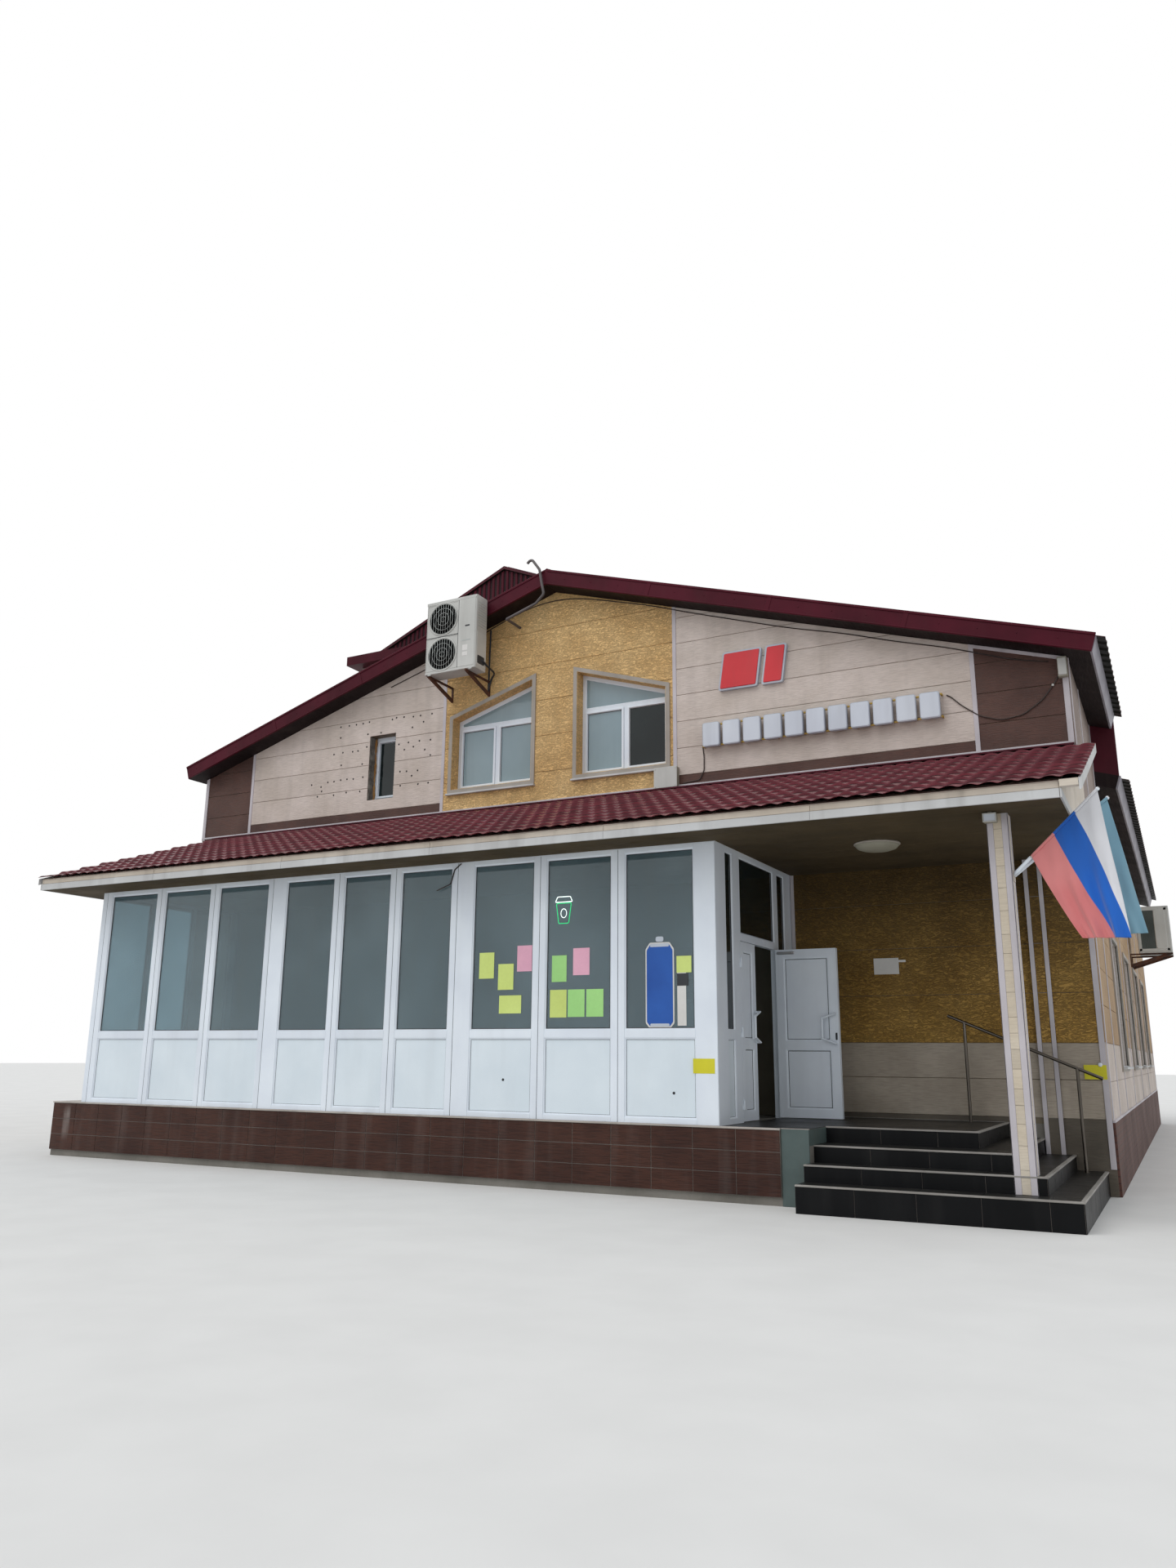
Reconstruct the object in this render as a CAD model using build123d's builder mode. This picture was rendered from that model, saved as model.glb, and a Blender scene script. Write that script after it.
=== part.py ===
from build123d import *
from math import cos, radians, sin, tan
import os

os.makedirs("parts", exist_ok=True)

# Main block, in millimetres: origin on the ground under the front wall's outer face, +Y into the building
half_width = 7560
depth = 18000
wall_t = 400
footing_z = 635
floor_z = 785
upper_floor_z = 4800
upper_floor_t = 250

# Front roof
roof_pitch = 17.4
ridge_z = 9190
roof_t = 240
sheet_t = 8
rib_h = 22
rib_pitch = 250
rib_top_w = 70
rib_foot_w = 120
verge_overhang = 370
barge_t = 25
eave_left_x = -7757
eave_right_x = 7945
sheet_overhang = 100
ridge_cap_w = 160
ridge_cap_crown = 25
front_roof_end = 3400
fascia_t = 25

# Raised block at the rear left, and the lower roof beside it
raised_y = 4300
raised_right_x = 360
raised_eave_z = 10200
raised_overhang = 240
raised_front_overhang = 300
cornice_h = 210
raised_roof_pitch = 23.4
raised_roof_inset = 960
raised_roof_t = 60
pediment_t = 60
pediment_rib = 14
pediment_rib_pitch = 115
pediment_rib_w = 38
roof_step = 950
rear_overhang = 300

# Glazed porch across the front
porch_inset = 1015
plinth_inset = 450
porch_left_x = porch_inset - half_width
plinth_left_x = plinth_inset - half_width
plinth_foot_z = 90
block_left_x = 4480
porch_right_x = 3784
porch_out = 2844
frame_t = 70
frame_w = 60
mullion_w = 175
group_post_w = 340
left_post_w = 210
right_post_w = 264
rail_mid_z = 1780
rail_mid_h = 90
porch_top_z = 3980
glass_t = 24
infill_t = 30
side_wall_post_w = 120
left_side_bays = 3
bay_lines = (-5248, -4128, -2902, -1773, -796, 289, 1454, 2536)
group_lines = (-2902, 289)
tile_t = 30

# Entrance doors in the porch's right side
passive_leaf_w = 520
active_leaf_w = 796
leaf_gap = 16
jamb_gap = 7
hinge_out = 12
knuckle_r = 9
knuckle_h = 55
leaf_clear = 15
leaf_h = 2085
door_far_y = -712
stile_w = 105
leaf_rail_z = 1683
leaf_rail_h = 100
door_head_rail = 85
hinge_heights = (190, 1010, 1830)
knuckle_gap = 0.2
handle_low = 905
handle_h = 360
handle_reach = 55
handle_side = 165
handle_r = 13
handle_fix = 35
handle_drop = 55
near_light_y = -2390
near_light_w = 240
far_light_y = -440
far_light_w = 300

# Steps and landing
step_tops = (270, 440, 615)
step_fronts = (3320, 3000, 2680)
step_rights = (7460, 7130, 6800)
landing_front = 2200
landing_right_x = 6410
block_right_x = 4790
step_left_x = 4770

# Canopy over the porch and the steps
canopy_inset = 420
canopy_left_x = canopy_inset - half_width
canopy_right_x = 7600
canopy_out = 3520
canopy_fascia_h = 185
canopy_left_verge = 20
canopy_right_verge = 200
canopy_eave = 80
canopy_wall_z = 5390
canopy_tile_t = 25
canopy_course_step = 14
canopy_courses = 10
soffit_t = 20
column_x = 6940
column_w = 200
column_out = 2905
pilaster_x = 6925
pilaster_w = 210
pilaster_t = 45
handrail_out = 250
handrail_r = 19
handrail_foot_r = 45
handrail_foot_t = 8
handrail_start = (5820, 2050)
handrail_end = (7520, 1317)
handrail_posts = ((6015, 785, 1960), (7254, 270, 1430))

# Windows
gable_window_in = 348
gable_window_out = 2012
gable_sill_z = 5722
gable_head_z = 7580
gable_transom_z = 6880
casing_w = 65
casing_t = 35
reveal_depth = 170
sash_t = 60
sash_w = 58
small_window_x = -3425
small_window_w = 560
small_window_sill = 5790
small_window_h = 1150
side_window_w = 1700
side_window_h = 1840
side_window_sill = 1440
side_window_pitch = 3600
side_window_first = 3850
side_window_count = 4
upper_window_h = 1300
upper_window_sill = 5650

# Inner doorway from the porch into the shop
inner_door_x = 1900
inner_door_w = 1800
inner_door_h = 2250

# Outdoor units of the air conditioning: a tall one on the front gable, a smaller one on the right wall
ac_x = -1552
ac_w = 985
ac_d = 320
ac_h = 1255
ac_z = 7575
ac_gap = 430
ac_fan_r = 268
ac_fan_x = -1713
ac_fan_low_z = 7892
ac_fan_high_z = 8504
ac_corner_r = 25
ac_fan_depth = 90
ac_hub_r = 60
ac_hub_h = 84
ac_ring_w = 14
ac_ring_t = 6
ac_bracket_xs = (-1985, -1245)
ac_bracket_t = 30
ac_bracket_drop = 265
ac_bracket_toe = 60
ac_bracket_web = 180
side_ac_y = 10450
side_ac_w = 900
side_ac_d = 600
side_ac_h = 915
side_ac_z = 3615
side_ac_gap = 180
side_ac_bracket_y = 340

# Conduit that bends over the verge of the gable, as points across and up, and how far it stands out
conduit_r = 22
conduit_out = 440
conduit_bend = 55
conduit_points = ((-680, 8430), (-134, 8600), (12, 8740), (-32, 8931), (-78, 9181), (-234, 9400), (-310, 9330))

# Flagpoles on the column, and the lower corners of each flag, along its pole's run and up
pole_r = 12
pole_plate_t = 14
pole_plate_w = 130
pole_plate_h = 110
pole_cut_w = 260
pole_foot_z = 3330
pole_feet = (-2935, -2875)
pole_tips = ((7930, -3300, 4080), (7980, -2600, 4130))
flag_t = 5
flag_gap = 0.2
flag_tops = ((224, 946), (224, 965))
flag_lows = (((663, 2655), (1115, 2625)), ((660, 2715), (1216, 2745)))

# Lamps and boxes
dome_lamp = (5450, -1900)
dome_lamp_r = 250
dome_lamp_h = 90
dome_lamp_taper = 45
flood_lamp = (6890, -3110)
flood_lamp_w = 125
flood_lamp_d = 105
flood_lamp_h = 85
flood_stem_w = 40
flood_stem_h = 30
corner_lamp = (7505, 6285)
corner_lamp_w = 110
corner_lamp_h = 262
junction_box = (1970, 5400)
junction_box_w = 360
junction_box_h = 310
junction_box_t = 110

# Sign on the right field
rail_left_x = 2560
rail_right_x = 6000
rail_low_z = 5965
rail_high_z = 6275
rail_bar = 22
rail_out = 90
plate_count = 11
plate_w = 262
plate_h = 360
plate_t = 60
plate_corner_r = 30
red_panel_h = 585
red_panel_z = 6790
red_panels = ((2815, 600), (3480, 320))
red_panel_lean = 85
red_panel_t = 70

slope = tan(radians(roof_pitch))
raised_slope = tan(radians(raised_roof_pitch))
roof_drop = roof_t / cos(radians(roof_pitch))
raised_ridge_x = (raised_right_x - half_width) / 2
raised_half = (half_width + raised_right_x) / 2
leaf_z = floor_z + leaf_clear
door_near_y = door_far_y - active_leaf_w - leaf_gap - passive_leaf_w - 2 * jamb_gap
door_head_z = leaf_z + leaf_h + jamb_gap


def roof_line(x):
    return ridge_z - abs(x) * slope


def deck_under(x):
    return roof_line(x) - roof_drop


def rear_line(x):
    return roof_line(x) - roof_step


def rear_under(x):
    return rear_line(x) - roof_drop


def canopy_line(y):
    fall = canopy_wall_z - (porch_top_z + canopy_fascia_h)
    return canopy_wall_z + y * fall / canopy_out


# Foundation: footing under the main block, the porch and the landing, up to the floor slab
with BuildPart() as foundation:
    with BuildSketch(Plane.XY):
        Polygon(
            (-half_width, 0), (plinth_left_x, 0), (plinth_left_x, -porch_out), (block_right_x, -porch_out),
            (block_right_x, 0), (half_width, 0), (half_width, depth), (-half_width, depth), align=None,
        )
    extrude(amount=footing_z)
foundation.part.label = "foundation"
export_step(foundation.part, "parts/foundation.step")

# Ground floor slab, which runs out under the porch
with BuildPart() as ground_floor:
    with BuildSketch(Plane.XY.offset(footing_z)):
        Polygon(
            (-half_width, 0), (plinth_left_x, 0), (plinth_left_x, -porch_out), (block_right_x, -porch_out),
            (block_right_x, 0), (half_width, 0), (half_width, depth), (-half_width, depth), align=None,
        )
    extrude(amount=floor_z - footing_z)
ground_floor.part.label = "ground_floor"
export_step(ground_floor.part, "parts/ground_floor.step")

# Upper floor slab, between the walls
with BuildPart() as upper_floor:
    with BuildSketch(Plane.XY.offset(upper_floor_z - upper_floor_t)):
        with Locations((0, depth / 2)):
            Rectangle(2 * (half_width - wall_t), depth - 2 * wall_t)
    extrude(amount=upper_floor_t)
upper_floor.part.label = "upper_floor"
export_step(upper_floor.part, "parts/upper_floor.step")

# Front wall beside the inner doorway, ground storey
inner_door_left = inner_door_x - inner_door_w / 2
inner_door_right = inner_door_x + inner_door_w / 2
with BuildPart() as front_wall_piers:
    with BuildSketch(Plane.XZ):
        with Locations(((inner_door_left - half_width) / 2, (floor_z + upper_floor_z) / 2)):
            Rectangle(inner_door_left + half_width, upper_floor_z - floor_z)
        with Locations(((inner_door_right + half_width) / 2, (floor_z + upper_floor_z) / 2)):
            Rectangle(half_width - inner_door_right, upper_floor_z - floor_z)
    extrude(amount=-wall_t)
front_wall_piers.part.label = "front_wall_piers"
export_step(front_wall_piers.part, "parts/front_wall_piers.step")

with BuildPart() as inner_door_lintel:
    with BuildSketch(Plane.XZ):
        with Locations((inner_door_x, (floor_z + inner_door_h + upper_floor_z) / 2)):
            Rectangle(inner_door_w, upper_floor_z - floor_z - inner_door_h)
    extrude(amount=-wall_t)
inner_door_lintel.part.label = "inner_door_lintel"
export_step(inner_door_lintel.part, "parts/inner_door_lintel.step")


def gable_window_outline(side, margin):
    """Corners of a front window's outline, whose head follows the roof, inset by a margin."""
    near = gable_window_in + margin
    far = gable_window_out - margin
    head = gable_head_z - margin / cos(radians(roof_pitch)) - (near - gable_window_in) * slope
    return [
        (side * near, gable_sill_z + margin), (side * far, gable_sill_z + margin),
        (side * far, head - (far - near) * slope), (side * near, head),
    ]


# Front gable wall of the upper storey, with its three windows cut through
with BuildPart() as front_gable_wall:
    with BuildSketch(Plane.XZ):
        Polygon(
            (-half_width, upper_floor_z), (half_width, upper_floor_z), (half_width, deck_under(half_width)),
            (0, deck_under(0)), (-half_width, deck_under(half_width)), align=None,
        )
        for side in (-1, 1):
            Polygon(*gable_window_outline(side, casing_w), align=None, mode=Mode.SUBTRACT)
        with Locations((small_window_x, small_window_sill + small_window_h / 2)):
            Rectangle(small_window_w, small_window_h, mode=Mode.SUBTRACT)
    extrude(amount=-wall_t)
front_gable_wall.part.label = "front_gable_wall"
export_step(front_gable_wall.part, "parts/front_gable_wall.step")


def side_window_places(sill, height, count):
    """Centres of a row of side windows, on a wall sketch that runs along Y and Z."""
    return [(side_window_first + i * side_window_pitch, sill + height / 2) for i in range(count)]


# Right wall: high at the front block, lower behind it, with the ground storey windows
with BuildPart() as right_wall:
    with BuildSketch(Plane.YZ.offset(half_width - wall_t)):
        Polygon(
            (wall_t, floor_z), (depth - wall_t, floor_z), (depth - wall_t, rear_under(half_width)),
            (front_roof_end, rear_under(half_width)), (front_roof_end, deck_under(half_width)),
            (wall_t, deck_under(half_width)), align=None,
        )
        with Locations(*side_window_places(side_window_sill, side_window_h, side_window_count)):
            Rectangle(side_window_w, side_window_h, mode=Mode.SUBTRACT)
    extrude(amount=wall_t)
right_wall.part.label = "right_wall"
export_step(right_wall.part, "parts/right_wall.step")

# Left wall: runs up to the raised block behind, with windows on both storeys
with BuildPart() as left_wall:
    with BuildSketch(Plane.YZ.offset(-half_width)):
        Polygon(
            (wall_t, floor_z), (depth - wall_t, floor_z), (depth - wall_t, raised_eave_z),
            (raised_y + wall_t, raised_eave_z), (raised_y + wall_t, deck_under(half_width)),
            (wall_t, deck_under(half_width)), align=None,
        )
        with Locations(*side_window_places(side_window_sill, side_window_h, side_window_count)):
            Rectangle(side_window_w, side_window_h, mode=Mode.SUBTRACT)
        with Locations(*side_window_places(upper_window_sill, upper_window_h, side_window_count)[1:]):
            Rectangle(side_window_w, upper_window_h, mode=Mode.SUBTRACT)
    extrude(amount=wall_t)
left_wall.part.label = "left_wall"
export_step(left_wall.part, "parts/left_wall.step")

# Rear wall: gable of the raised block on the left, low part on the right
with BuildPart() as rear_wall_left:
    with BuildSketch(Plane.XZ.offset(-depth)):
        Polygon(
            (-half_width, floor_z), (raised_right_x, floor_z), (raised_right_x, raised_eave_z),
            (-half_width, raised_eave_z), align=None,
        )
        with Locations((raised_ridge_x, side_window_sill + side_window_h / 2)):
            with GridLocations(side_window_pitch, 1, 2, 1):
                Rectangle(side_window_w, side_window_h, mode=Mode.SUBTRACT)
        with Locations((raised_ridge_x, upper_window_sill + upper_window_h / 2)):
            with GridLocations(side_window_pitch, 1, 2, 1):
                Rectangle(side_window_w, upper_window_h, mode=Mode.SUBTRACT)
    extrude(amount=wall_t)
rear_wall_left.part.label = "rear_wall_left"
export_step(rear_wall_left.part, "parts/rear_wall_left.step")

with BuildPart() as rear_wall_right:
    with BuildSketch(Plane.XZ.offset(-depth)):
        Polygon(
            (raised_right_x, floor_z), (half_width, floor_z), (half_width, rear_under(half_width)),
            (raised_right_x, rear_under(raised_right_x)), align=None,
        )
        with Locations(((raised_right_x + half_width) / 2, side_window_sill + side_window_h / 2)):
            with GridLocations(side_window_pitch, 1, 2, 1):
                Rectangle(side_window_w, side_window_h, mode=Mode.SUBTRACT)
    extrude(amount=wall_t)
rear_wall_right.part.label = "rear_wall_right"
export_step(rear_wall_right.part, "parts/rear_wall_right.step")

# Raised block's front wall, standing on the front roof's rear edge
with BuildPart() as raised_front_wall:
    with BuildSketch(Plane.XZ.offset(-raised_y)):
        Polygon(
            (-half_width, deck_under(half_width)), (raised_right_x - wall_t, deck_under(raised_right_x - wall_t)),
            (raised_right_x - wall_t, rear_under(0)), (raised_right_x, rear_under(0)),
            (raised_right_x, raised_eave_z), (-half_width, raised_eave_z), align=None,
        )
    extrude(amount=-wall_t)
raised_front_wall.part.label = "raised_front_wall"
export_step(raised_front_wall.part, "parts/raised_front_wall.step")

# Raised block's right wall, over the lower rear roof
with BuildPart() as raised_right_wall:
    with BuildSketch(Plane.XZ.offset(-raised_y - wall_t)):
        Polygon(
            (raised_right_x - wall_t, rear_under(0)), (raised_right_x, rear_under(0)),
            (raised_right_x, raised_eave_z), (raised_right_x - wall_t, raised_eave_z), align=None,
        )
    extrude(amount=-(depth - raised_y - 2 * wall_t))
raised_right_wall.part.label = "raised_right_wall"
export_step(raised_right_wall.part, "parts/raised_right_wall.step")


def slope_slab(x_high, x_low, z_high, pitch, thickness, up=0.0):
    """Corners of a slab that falls from x_high to x_low, its ends cut square to the slope."""
    run = x_low - x_high
    fall = abs(run) * tan(radians(pitch))
    side = 1 if run > 0 else -1
    lean = side * thickness * sin(radians(pitch))
    drop = thickness * cos(radians(pitch))
    lift = up / cos(radians(pitch))
    foot = (x_low, z_high - fall + lift)
    return [
        (x_high, z_high + lift), foot, (foot[0] - lean, foot[1] - drop),
        (x_high, z_high + lift - thickness / cos(radians(pitch))),
    ]


# Front roof decks: the boxed roof structure, whose underside is the dark soffit
deck_t = roof_t - sheet_t - rib_h
deck_ridge_z = ridge_z - (sheet_t + rib_h) / cos(radians(roof_pitch))
with BuildPart() as front_roof_deck_left:
    with BuildSketch(Plane.XZ.offset(verge_overhang - barge_t)):
        Polygon(*slope_slab(0, eave_left_x, deck_ridge_z, roof_pitch, deck_t), align=None)
    extrude(amount=-(raised_y + verge_overhang - barge_t))
front_roof_deck_left.part.label = "front_roof_deck_left"
export_step(front_roof_deck_left.part, "parts/front_roof_deck_left.step")

with BuildPart() as front_roof_deck_right:
    with BuildSketch(Plane.XZ.offset(verge_overhang - barge_t)):
        Polygon(*slope_slab(0, eave_right_x - fascia_t, deck_ridge_z, roof_pitch, deck_t), align=None)
    extrude(amount=-(front_roof_end + verge_overhang - barge_t))
front_roof_deck_right.part.label = "front_roof_deck_right"
export_step(front_roof_deck_right.part, "parts/front_roof_deck_right.step")

# Rear roof deck on the right, lower by one step
with BuildPart() as rear_roof_deck:
    with BuildSketch(Plane.XZ.offset(-front_roof_end)):
        Polygon(*slope_slab(0, eave_right_x - fascia_t, deck_ridge_z - roof_step, roof_pitch, deck_t), align=None)
    extrude(amount=-(depth + rear_overhang - front_roof_end))
    with BuildSketch(Plane.XY.offset(upper_floor_z)):
        with Locations((raised_right_x / 2 - wall_t, raised_y)):
            Rectangle(raised_right_x + 2 * wall_t, depth, align=(Align.CENTER, Align.MIN))
    extrude(amount=ridge_z, mode=Mode.SUBTRACT)
rear_roof_deck.part.label = "rear_roof_deck"
export_step(rear_roof_deck.part, "parts/rear_roof_deck.step")

# Strip that closes the step between the front roof and the rear roof, and turns back along the ridge
step_t = wall_t / 2
with BuildPart() as roof_step_wall:
    for start, end, far_x in ((front_roof_end, front_roof_end + step_t, eave_right_x - fascia_t),
                              (front_roof_end + step_t, raised_y, step_t)):
        with BuildSketch(Plane.XZ.offset(-start)):
            Polygon(
                (0, deck_ridge_z - roof_step), (far_x, deck_ridge_z - roof_step - far_x * slope),
                (far_x, deck_ridge_z - far_x * slope), (0, deck_ridge_z), align=None,
            )
        extrude(amount=-(end - start))
roof_step_wall.part.label = "roof_step_wall"
export_step(roof_step_wall.part, "parts/roof_step_wall.step")


def corrugated_outline(length):
    """Section of a trapezoidal roofing sheet across its ribs, from 0 to length."""
    lower = [(0, 0)]
    count = int(length // rib_pitch)
    margin = (length - count * rib_pitch) / 2
    for i in range(count):
        mid = margin + (i + 0.5) * rib_pitch
        lower += [
            (mid - rib_foot_w / 2, 0), (mid - rib_top_w / 2, rib_h),
            (mid + rib_top_w / 2, rib_h), (mid + rib_foot_w / 2, 0),
        ]
    lower.append((length, 0))
    upper = [(x, y + sheet_t) for x, y in reversed(lower)]
    return lower + upper


def roof_sheet(x_high, x_low, z_high, y_start, y_end, pitch):
    """A corrugated sheet on one slope, its ribs running from the ridge down to the eave."""
    side = 1 if x_low > x_high else -1
    fall = Vector(side * cos(radians(pitch)), 0, -sin(radians(pitch)))
    across = Vector(0, 1, 0)
    plane = Plane(origin=(x_high, y_start, z_high), x_dir=across, z_dir=fall)
    up = plane.y_dir.Z
    with BuildPart() as sheet:
        with BuildSketch(plane):
            points = corrugated_outline(y_end - y_start)
            Polygon(*[(x, y if up > 0 else -y) for x, y in points], align=None)
        extrude(amount=abs(x_low - x_high) / cos(radians(pitch)))
    return sheet


front_roof_sheet_left = roof_sheet(
    0, eave_left_x, deck_ridge_z, -verge_overhang + barge_t, raised_y, roof_pitch)
front_roof_sheet_left.part.label = "front_roof_sheet_left"
export_step(front_roof_sheet_left.part, "parts/front_roof_sheet_left.step")

front_roof_sheet_right = roof_sheet(
    0, eave_right_x + sheet_overhang, deck_ridge_z, -verge_overhang + barge_t, front_roof_end, roof_pitch)
front_roof_sheet_right.part.label = "front_roof_sheet_right"
export_step(front_roof_sheet_right.part, "parts/front_roof_sheet_right.step")

rear_sheet = roof_sheet(
    step_t, eave_right_x + sheet_overhang, deck_ridge_z - roof_step - step_t * slope,
    front_roof_end + step_t, depth + rear_overhang, roof_pitch)
with BuildPart() as rear_roof_sheet:
    add(rear_sheet.part)
    with BuildSketch(Plane.XY.offset(upper_floor_z)):
        with Locations((0, raised_y)):
            Rectangle(raised_right_x, depth, align=(Align.MIN, Align.MIN))
    extrude(amount=ridge_z, mode=Mode.SUBTRACT)
rear_roof_sheet.part.label = "rear_roof_sheet"
export_step(rear_roof_sheet.part, "parts/rear_roof_sheet.step")

# Verge boards of the front gable
with BuildPart() as barge_boards:
    with BuildSketch(Plane.XZ.offset(verge_overhang)):
        Polygon(*slope_slab(0, eave_left_x, ridge_z, roof_pitch, roof_t), align=None)
        Polygon(*slope_slab(0, eave_right_x, ridge_z, roof_pitch, roof_t), align=None)
    extrude(amount=-barge_t)
barge_boards.part.label = "barge_boards"
export_step(barge_boards.part, "parts/barge_boards.step")

# White eave fascias on the right: front roof and rear roof
fascia_drop = deck_t * cos(radians(roof_pitch))
with BuildPart() as eave_fascias:
    for start, end, step in ((-verge_overhang + barge_t, front_roof_end, 0),
                             (front_roof_end, depth + rear_overhang, roof_step)):
        foot = deck_ridge_z - step - (eave_right_x - fascia_t) * slope
        with BuildSketch(Plane.XZ.offset(-start)):
            lean = deck_t * sin(radians(roof_pitch))
            Polygon(
                (eave_right_x - fascia_t, foot), (eave_right_x, foot - fascia_t * slope),
                (eave_right_x - lean, foot - fascia_drop - fascia_t * slope), (eave_right_x - fascia_t - lean,
                                                                               foot - fascia_drop), align=None,
            )
        extrude(amount=-(end - start))
eave_fascias.part.label = "eave_fascias"
export_step(eave_fascias.part, "parts/eave_fascias.step")

# Ridge cap of the front roof
with BuildPart() as ridge_cap:
    with BuildSketch(Plane.XZ.offset(verge_overhang - barge_t)):
        rise = (sheet_t + rib_h) / cos(radians(roof_pitch))
        top = deck_ridge_z + rise
        Polygon(
            (-ridge_cap_w, top - ridge_cap_w * slope), (0, top), (ridge_cap_w, top - ridge_cap_w * slope),
            (ridge_cap_w, top - ridge_cap_w * slope + sheet_t), (0, top + sheet_t + ridge_cap_crown),
            (-ridge_cap_w, top - ridge_cap_w * slope + sheet_t), align=None,
        )
    extrude(amount=-(front_roof_end + verge_overhang - barge_t))
ridge_cap.part.label = "ridge_cap"
export_step(ridge_cap.part, "parts/ridge_cap.step")

# Raised block's boxed cornice, which closes the block and carries its roof
cornice_left_x = -half_width - raised_overhang
cornice_right_x = raised_right_x + raised_overhang
cornice_front_y = raised_y - raised_front_overhang
cornice_back_y = depth + rear_overhang
with BuildPart() as raised_cornice:
    with BuildSketch(Plane.XY.offset(raised_eave_z)):
        with Locations(((cornice_left_x + cornice_right_x) / 2, (cornice_front_y + cornice_back_y) / 2)):
            Rectangle(cornice_right_x - cornice_left_x, cornice_back_y - cornice_front_y)
    extrude(amount=cornice_h)
raised_cornice.part.label = "raised_cornice"
export_step(raised_cornice.part, "parts/raised_cornice.step")

# Raised block's gable roof, standing inside the edge of the cornice
cornice_top_z = raised_eave_z + cornice_h
raised_run = (cornice_right_x - cornice_left_x) / 2 - raised_roof_inset
raised_rise = raised_run * raised_slope
raised_roof_drop = raised_roof_t / cos(radians(raised_roof_pitch))
with BuildPart() as raised_roof:
    with BuildSketch(Plane.XZ.offset(-cornice_front_y)):
        Polygon(
            (raised_ridge_x - raised_run, cornice_top_z), (raised_ridge_x, cornice_top_z + raised_rise),
            (raised_ridge_x + raised_run, cornice_top_z),
            (raised_ridge_x + raised_run - raised_roof_drop / raised_slope, cornice_top_z),
            (raised_ridge_x, cornice_top_z + raised_rise - raised_roof_drop),
            (raised_ridge_x - raised_run + raised_roof_drop / raised_slope, cornice_top_z), align=None,
        )
    extrude(amount=-(cornice_back_y - cornice_front_y))
raised_roof.part.label = "raised_roof"
export_step(raised_roof.part, "parts/raised_roof.step")

# Ribbed pediments that close the raised roof's two ends
pediment_run = raised_run - raised_roof_drop / raised_slope
pediment_rise = pediment_run * raised_slope
rib_count = int(2 * pediment_run // pediment_rib_pitch)
with BuildPart() as pediments:
    for start, face in ((cornice_front_y + 2 * pediment_t, -1), (cornice_back_y - 2 * pediment_t, 1)):
        with BuildSketch(Plane.XZ.offset(-start)):
            with Locations((raised_ridge_x, cornice_top_z)):
                Polygon((-pediment_run, 0), (pediment_run, 0), (0, pediment_rise), align=None)
        extrude(amount=-face * pediment_t)
        with BuildSketch(Plane.XZ.offset(-start)):
            for i in range(1, rib_count):
                x = -pediment_run + i * 2 * pediment_run / rib_count
                top = (pediment_run - abs(x) - pediment_rib_w) * raised_slope
                if top > pediment_rib_pitch:
                    with Locations((raised_ridge_x + x, cornice_top_z + top / 2)):
                        Rectangle(pediment_rib_w, top)
        extrude(amount=-face * pediment_rib)
pediments.part.label = "pediments"
export_step(pediments.part, "parts/pediments.step")

# Tiled facing of the plinth under the porch, and the painted block at its end
with BuildPart() as plinth_tiles:
    with BuildSketch(Plane.XZ.offset(porch_out)):
        with Locations(((plinth_left_x + block_left_x) / 2, (plinth_foot_z + floor_z) / 2)):
            Rectangle(block_left_x - plinth_left_x, floor_z - plinth_foot_z)
    extrude(amount=tile_t)
plinth_tiles.part.label = "plinth_tiles"
export_step(plinth_tiles.part, "parts/plinth_tiles.step")

# Steps: three treads that wrap round the landing's front and right side
def tread(low_z, top_z, front, right_x):
    """One tread, cut round the column and the pilaster that pass it."""
    left_x = step_left_x if front > porch_out + tile_t else block_right_x
    with BuildPart() as slab:
        with BuildSketch(Plane.XY.offset(low_z)):
            with Locations(((block_right_x + right_x) / 2, -front / 2)):
                Rectangle(right_x - block_right_x, front)
            if left_x < block_right_x:
                with Locations(((left_x + block_right_x) / 2, -(front + porch_out) / 2)):
                    Rectangle(block_right_x - left_x, front - porch_out)
            if low_z >= step_tops[0]:
                with Locations((column_x, -column_out)):
                    Rectangle(column_w, column_w, mode=Mode.SUBTRACT)
            if low_z >= step_tops[1] and right_x > pilaster_x - pilaster_w / 2:
                with Locations((pilaster_x, 0)):
                    Rectangle(pilaster_w, pilaster_t, align=(Align.CENTER, Align.MAX), mode=Mode.SUBTRACT)
        extrude(amount=top_z - low_z)
    return slab


step_1 = tread(0, step_tops[0], step_fronts[0], step_rights[0])
step_1.part.label = "step_1"
export_step(step_1.part, "parts/step_1.step")

step_2 = tread(step_tops[0], step_tops[1], step_fronts[1], step_rights[1])
step_2.part.label = "step_2"
export_step(step_2.part, "parts/step_2.step")

step_3 = tread(step_tops[1], step_tops[2], step_fronts[2], step_rights[2])
step_3.part.label = "step_3"
export_step(step_3.part, "parts/step_3.step")

with BuildPart() as landing:
    with BuildSketch(Plane.XY.offset(step_tops[2])):
        with Locations(((block_right_x + landing_right_x) / 2, -landing_front / 2)):
            Rectangle(landing_right_x - block_right_x, landing_front)
    extrude(amount=floor_z - step_tops[2])
landing.part.label = "landing"
export_step(landing.part, "parts/landing.step")


def porch_bays():
    """Left and right edge of each glazed bay of the porch front, between its posts."""
    posts = [(porch_left_x, left_post_w)]
    posts += [(x, group_post_w if x in group_lines else mullion_w) for x in bay_lines]
    posts.append((porch_right_x, right_post_w))
    edges = []
    for i in range(len(posts) - 1):
        left_x, left_w = posts[i]
        right_x, right_w = posts[i + 1]
        start = left_x + (left_w if i == 0 else left_w / 2)
        end = right_x - (right_w if i == len(posts) - 2 else right_w / 2)
        edges.append((start, end))
    return edges


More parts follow.
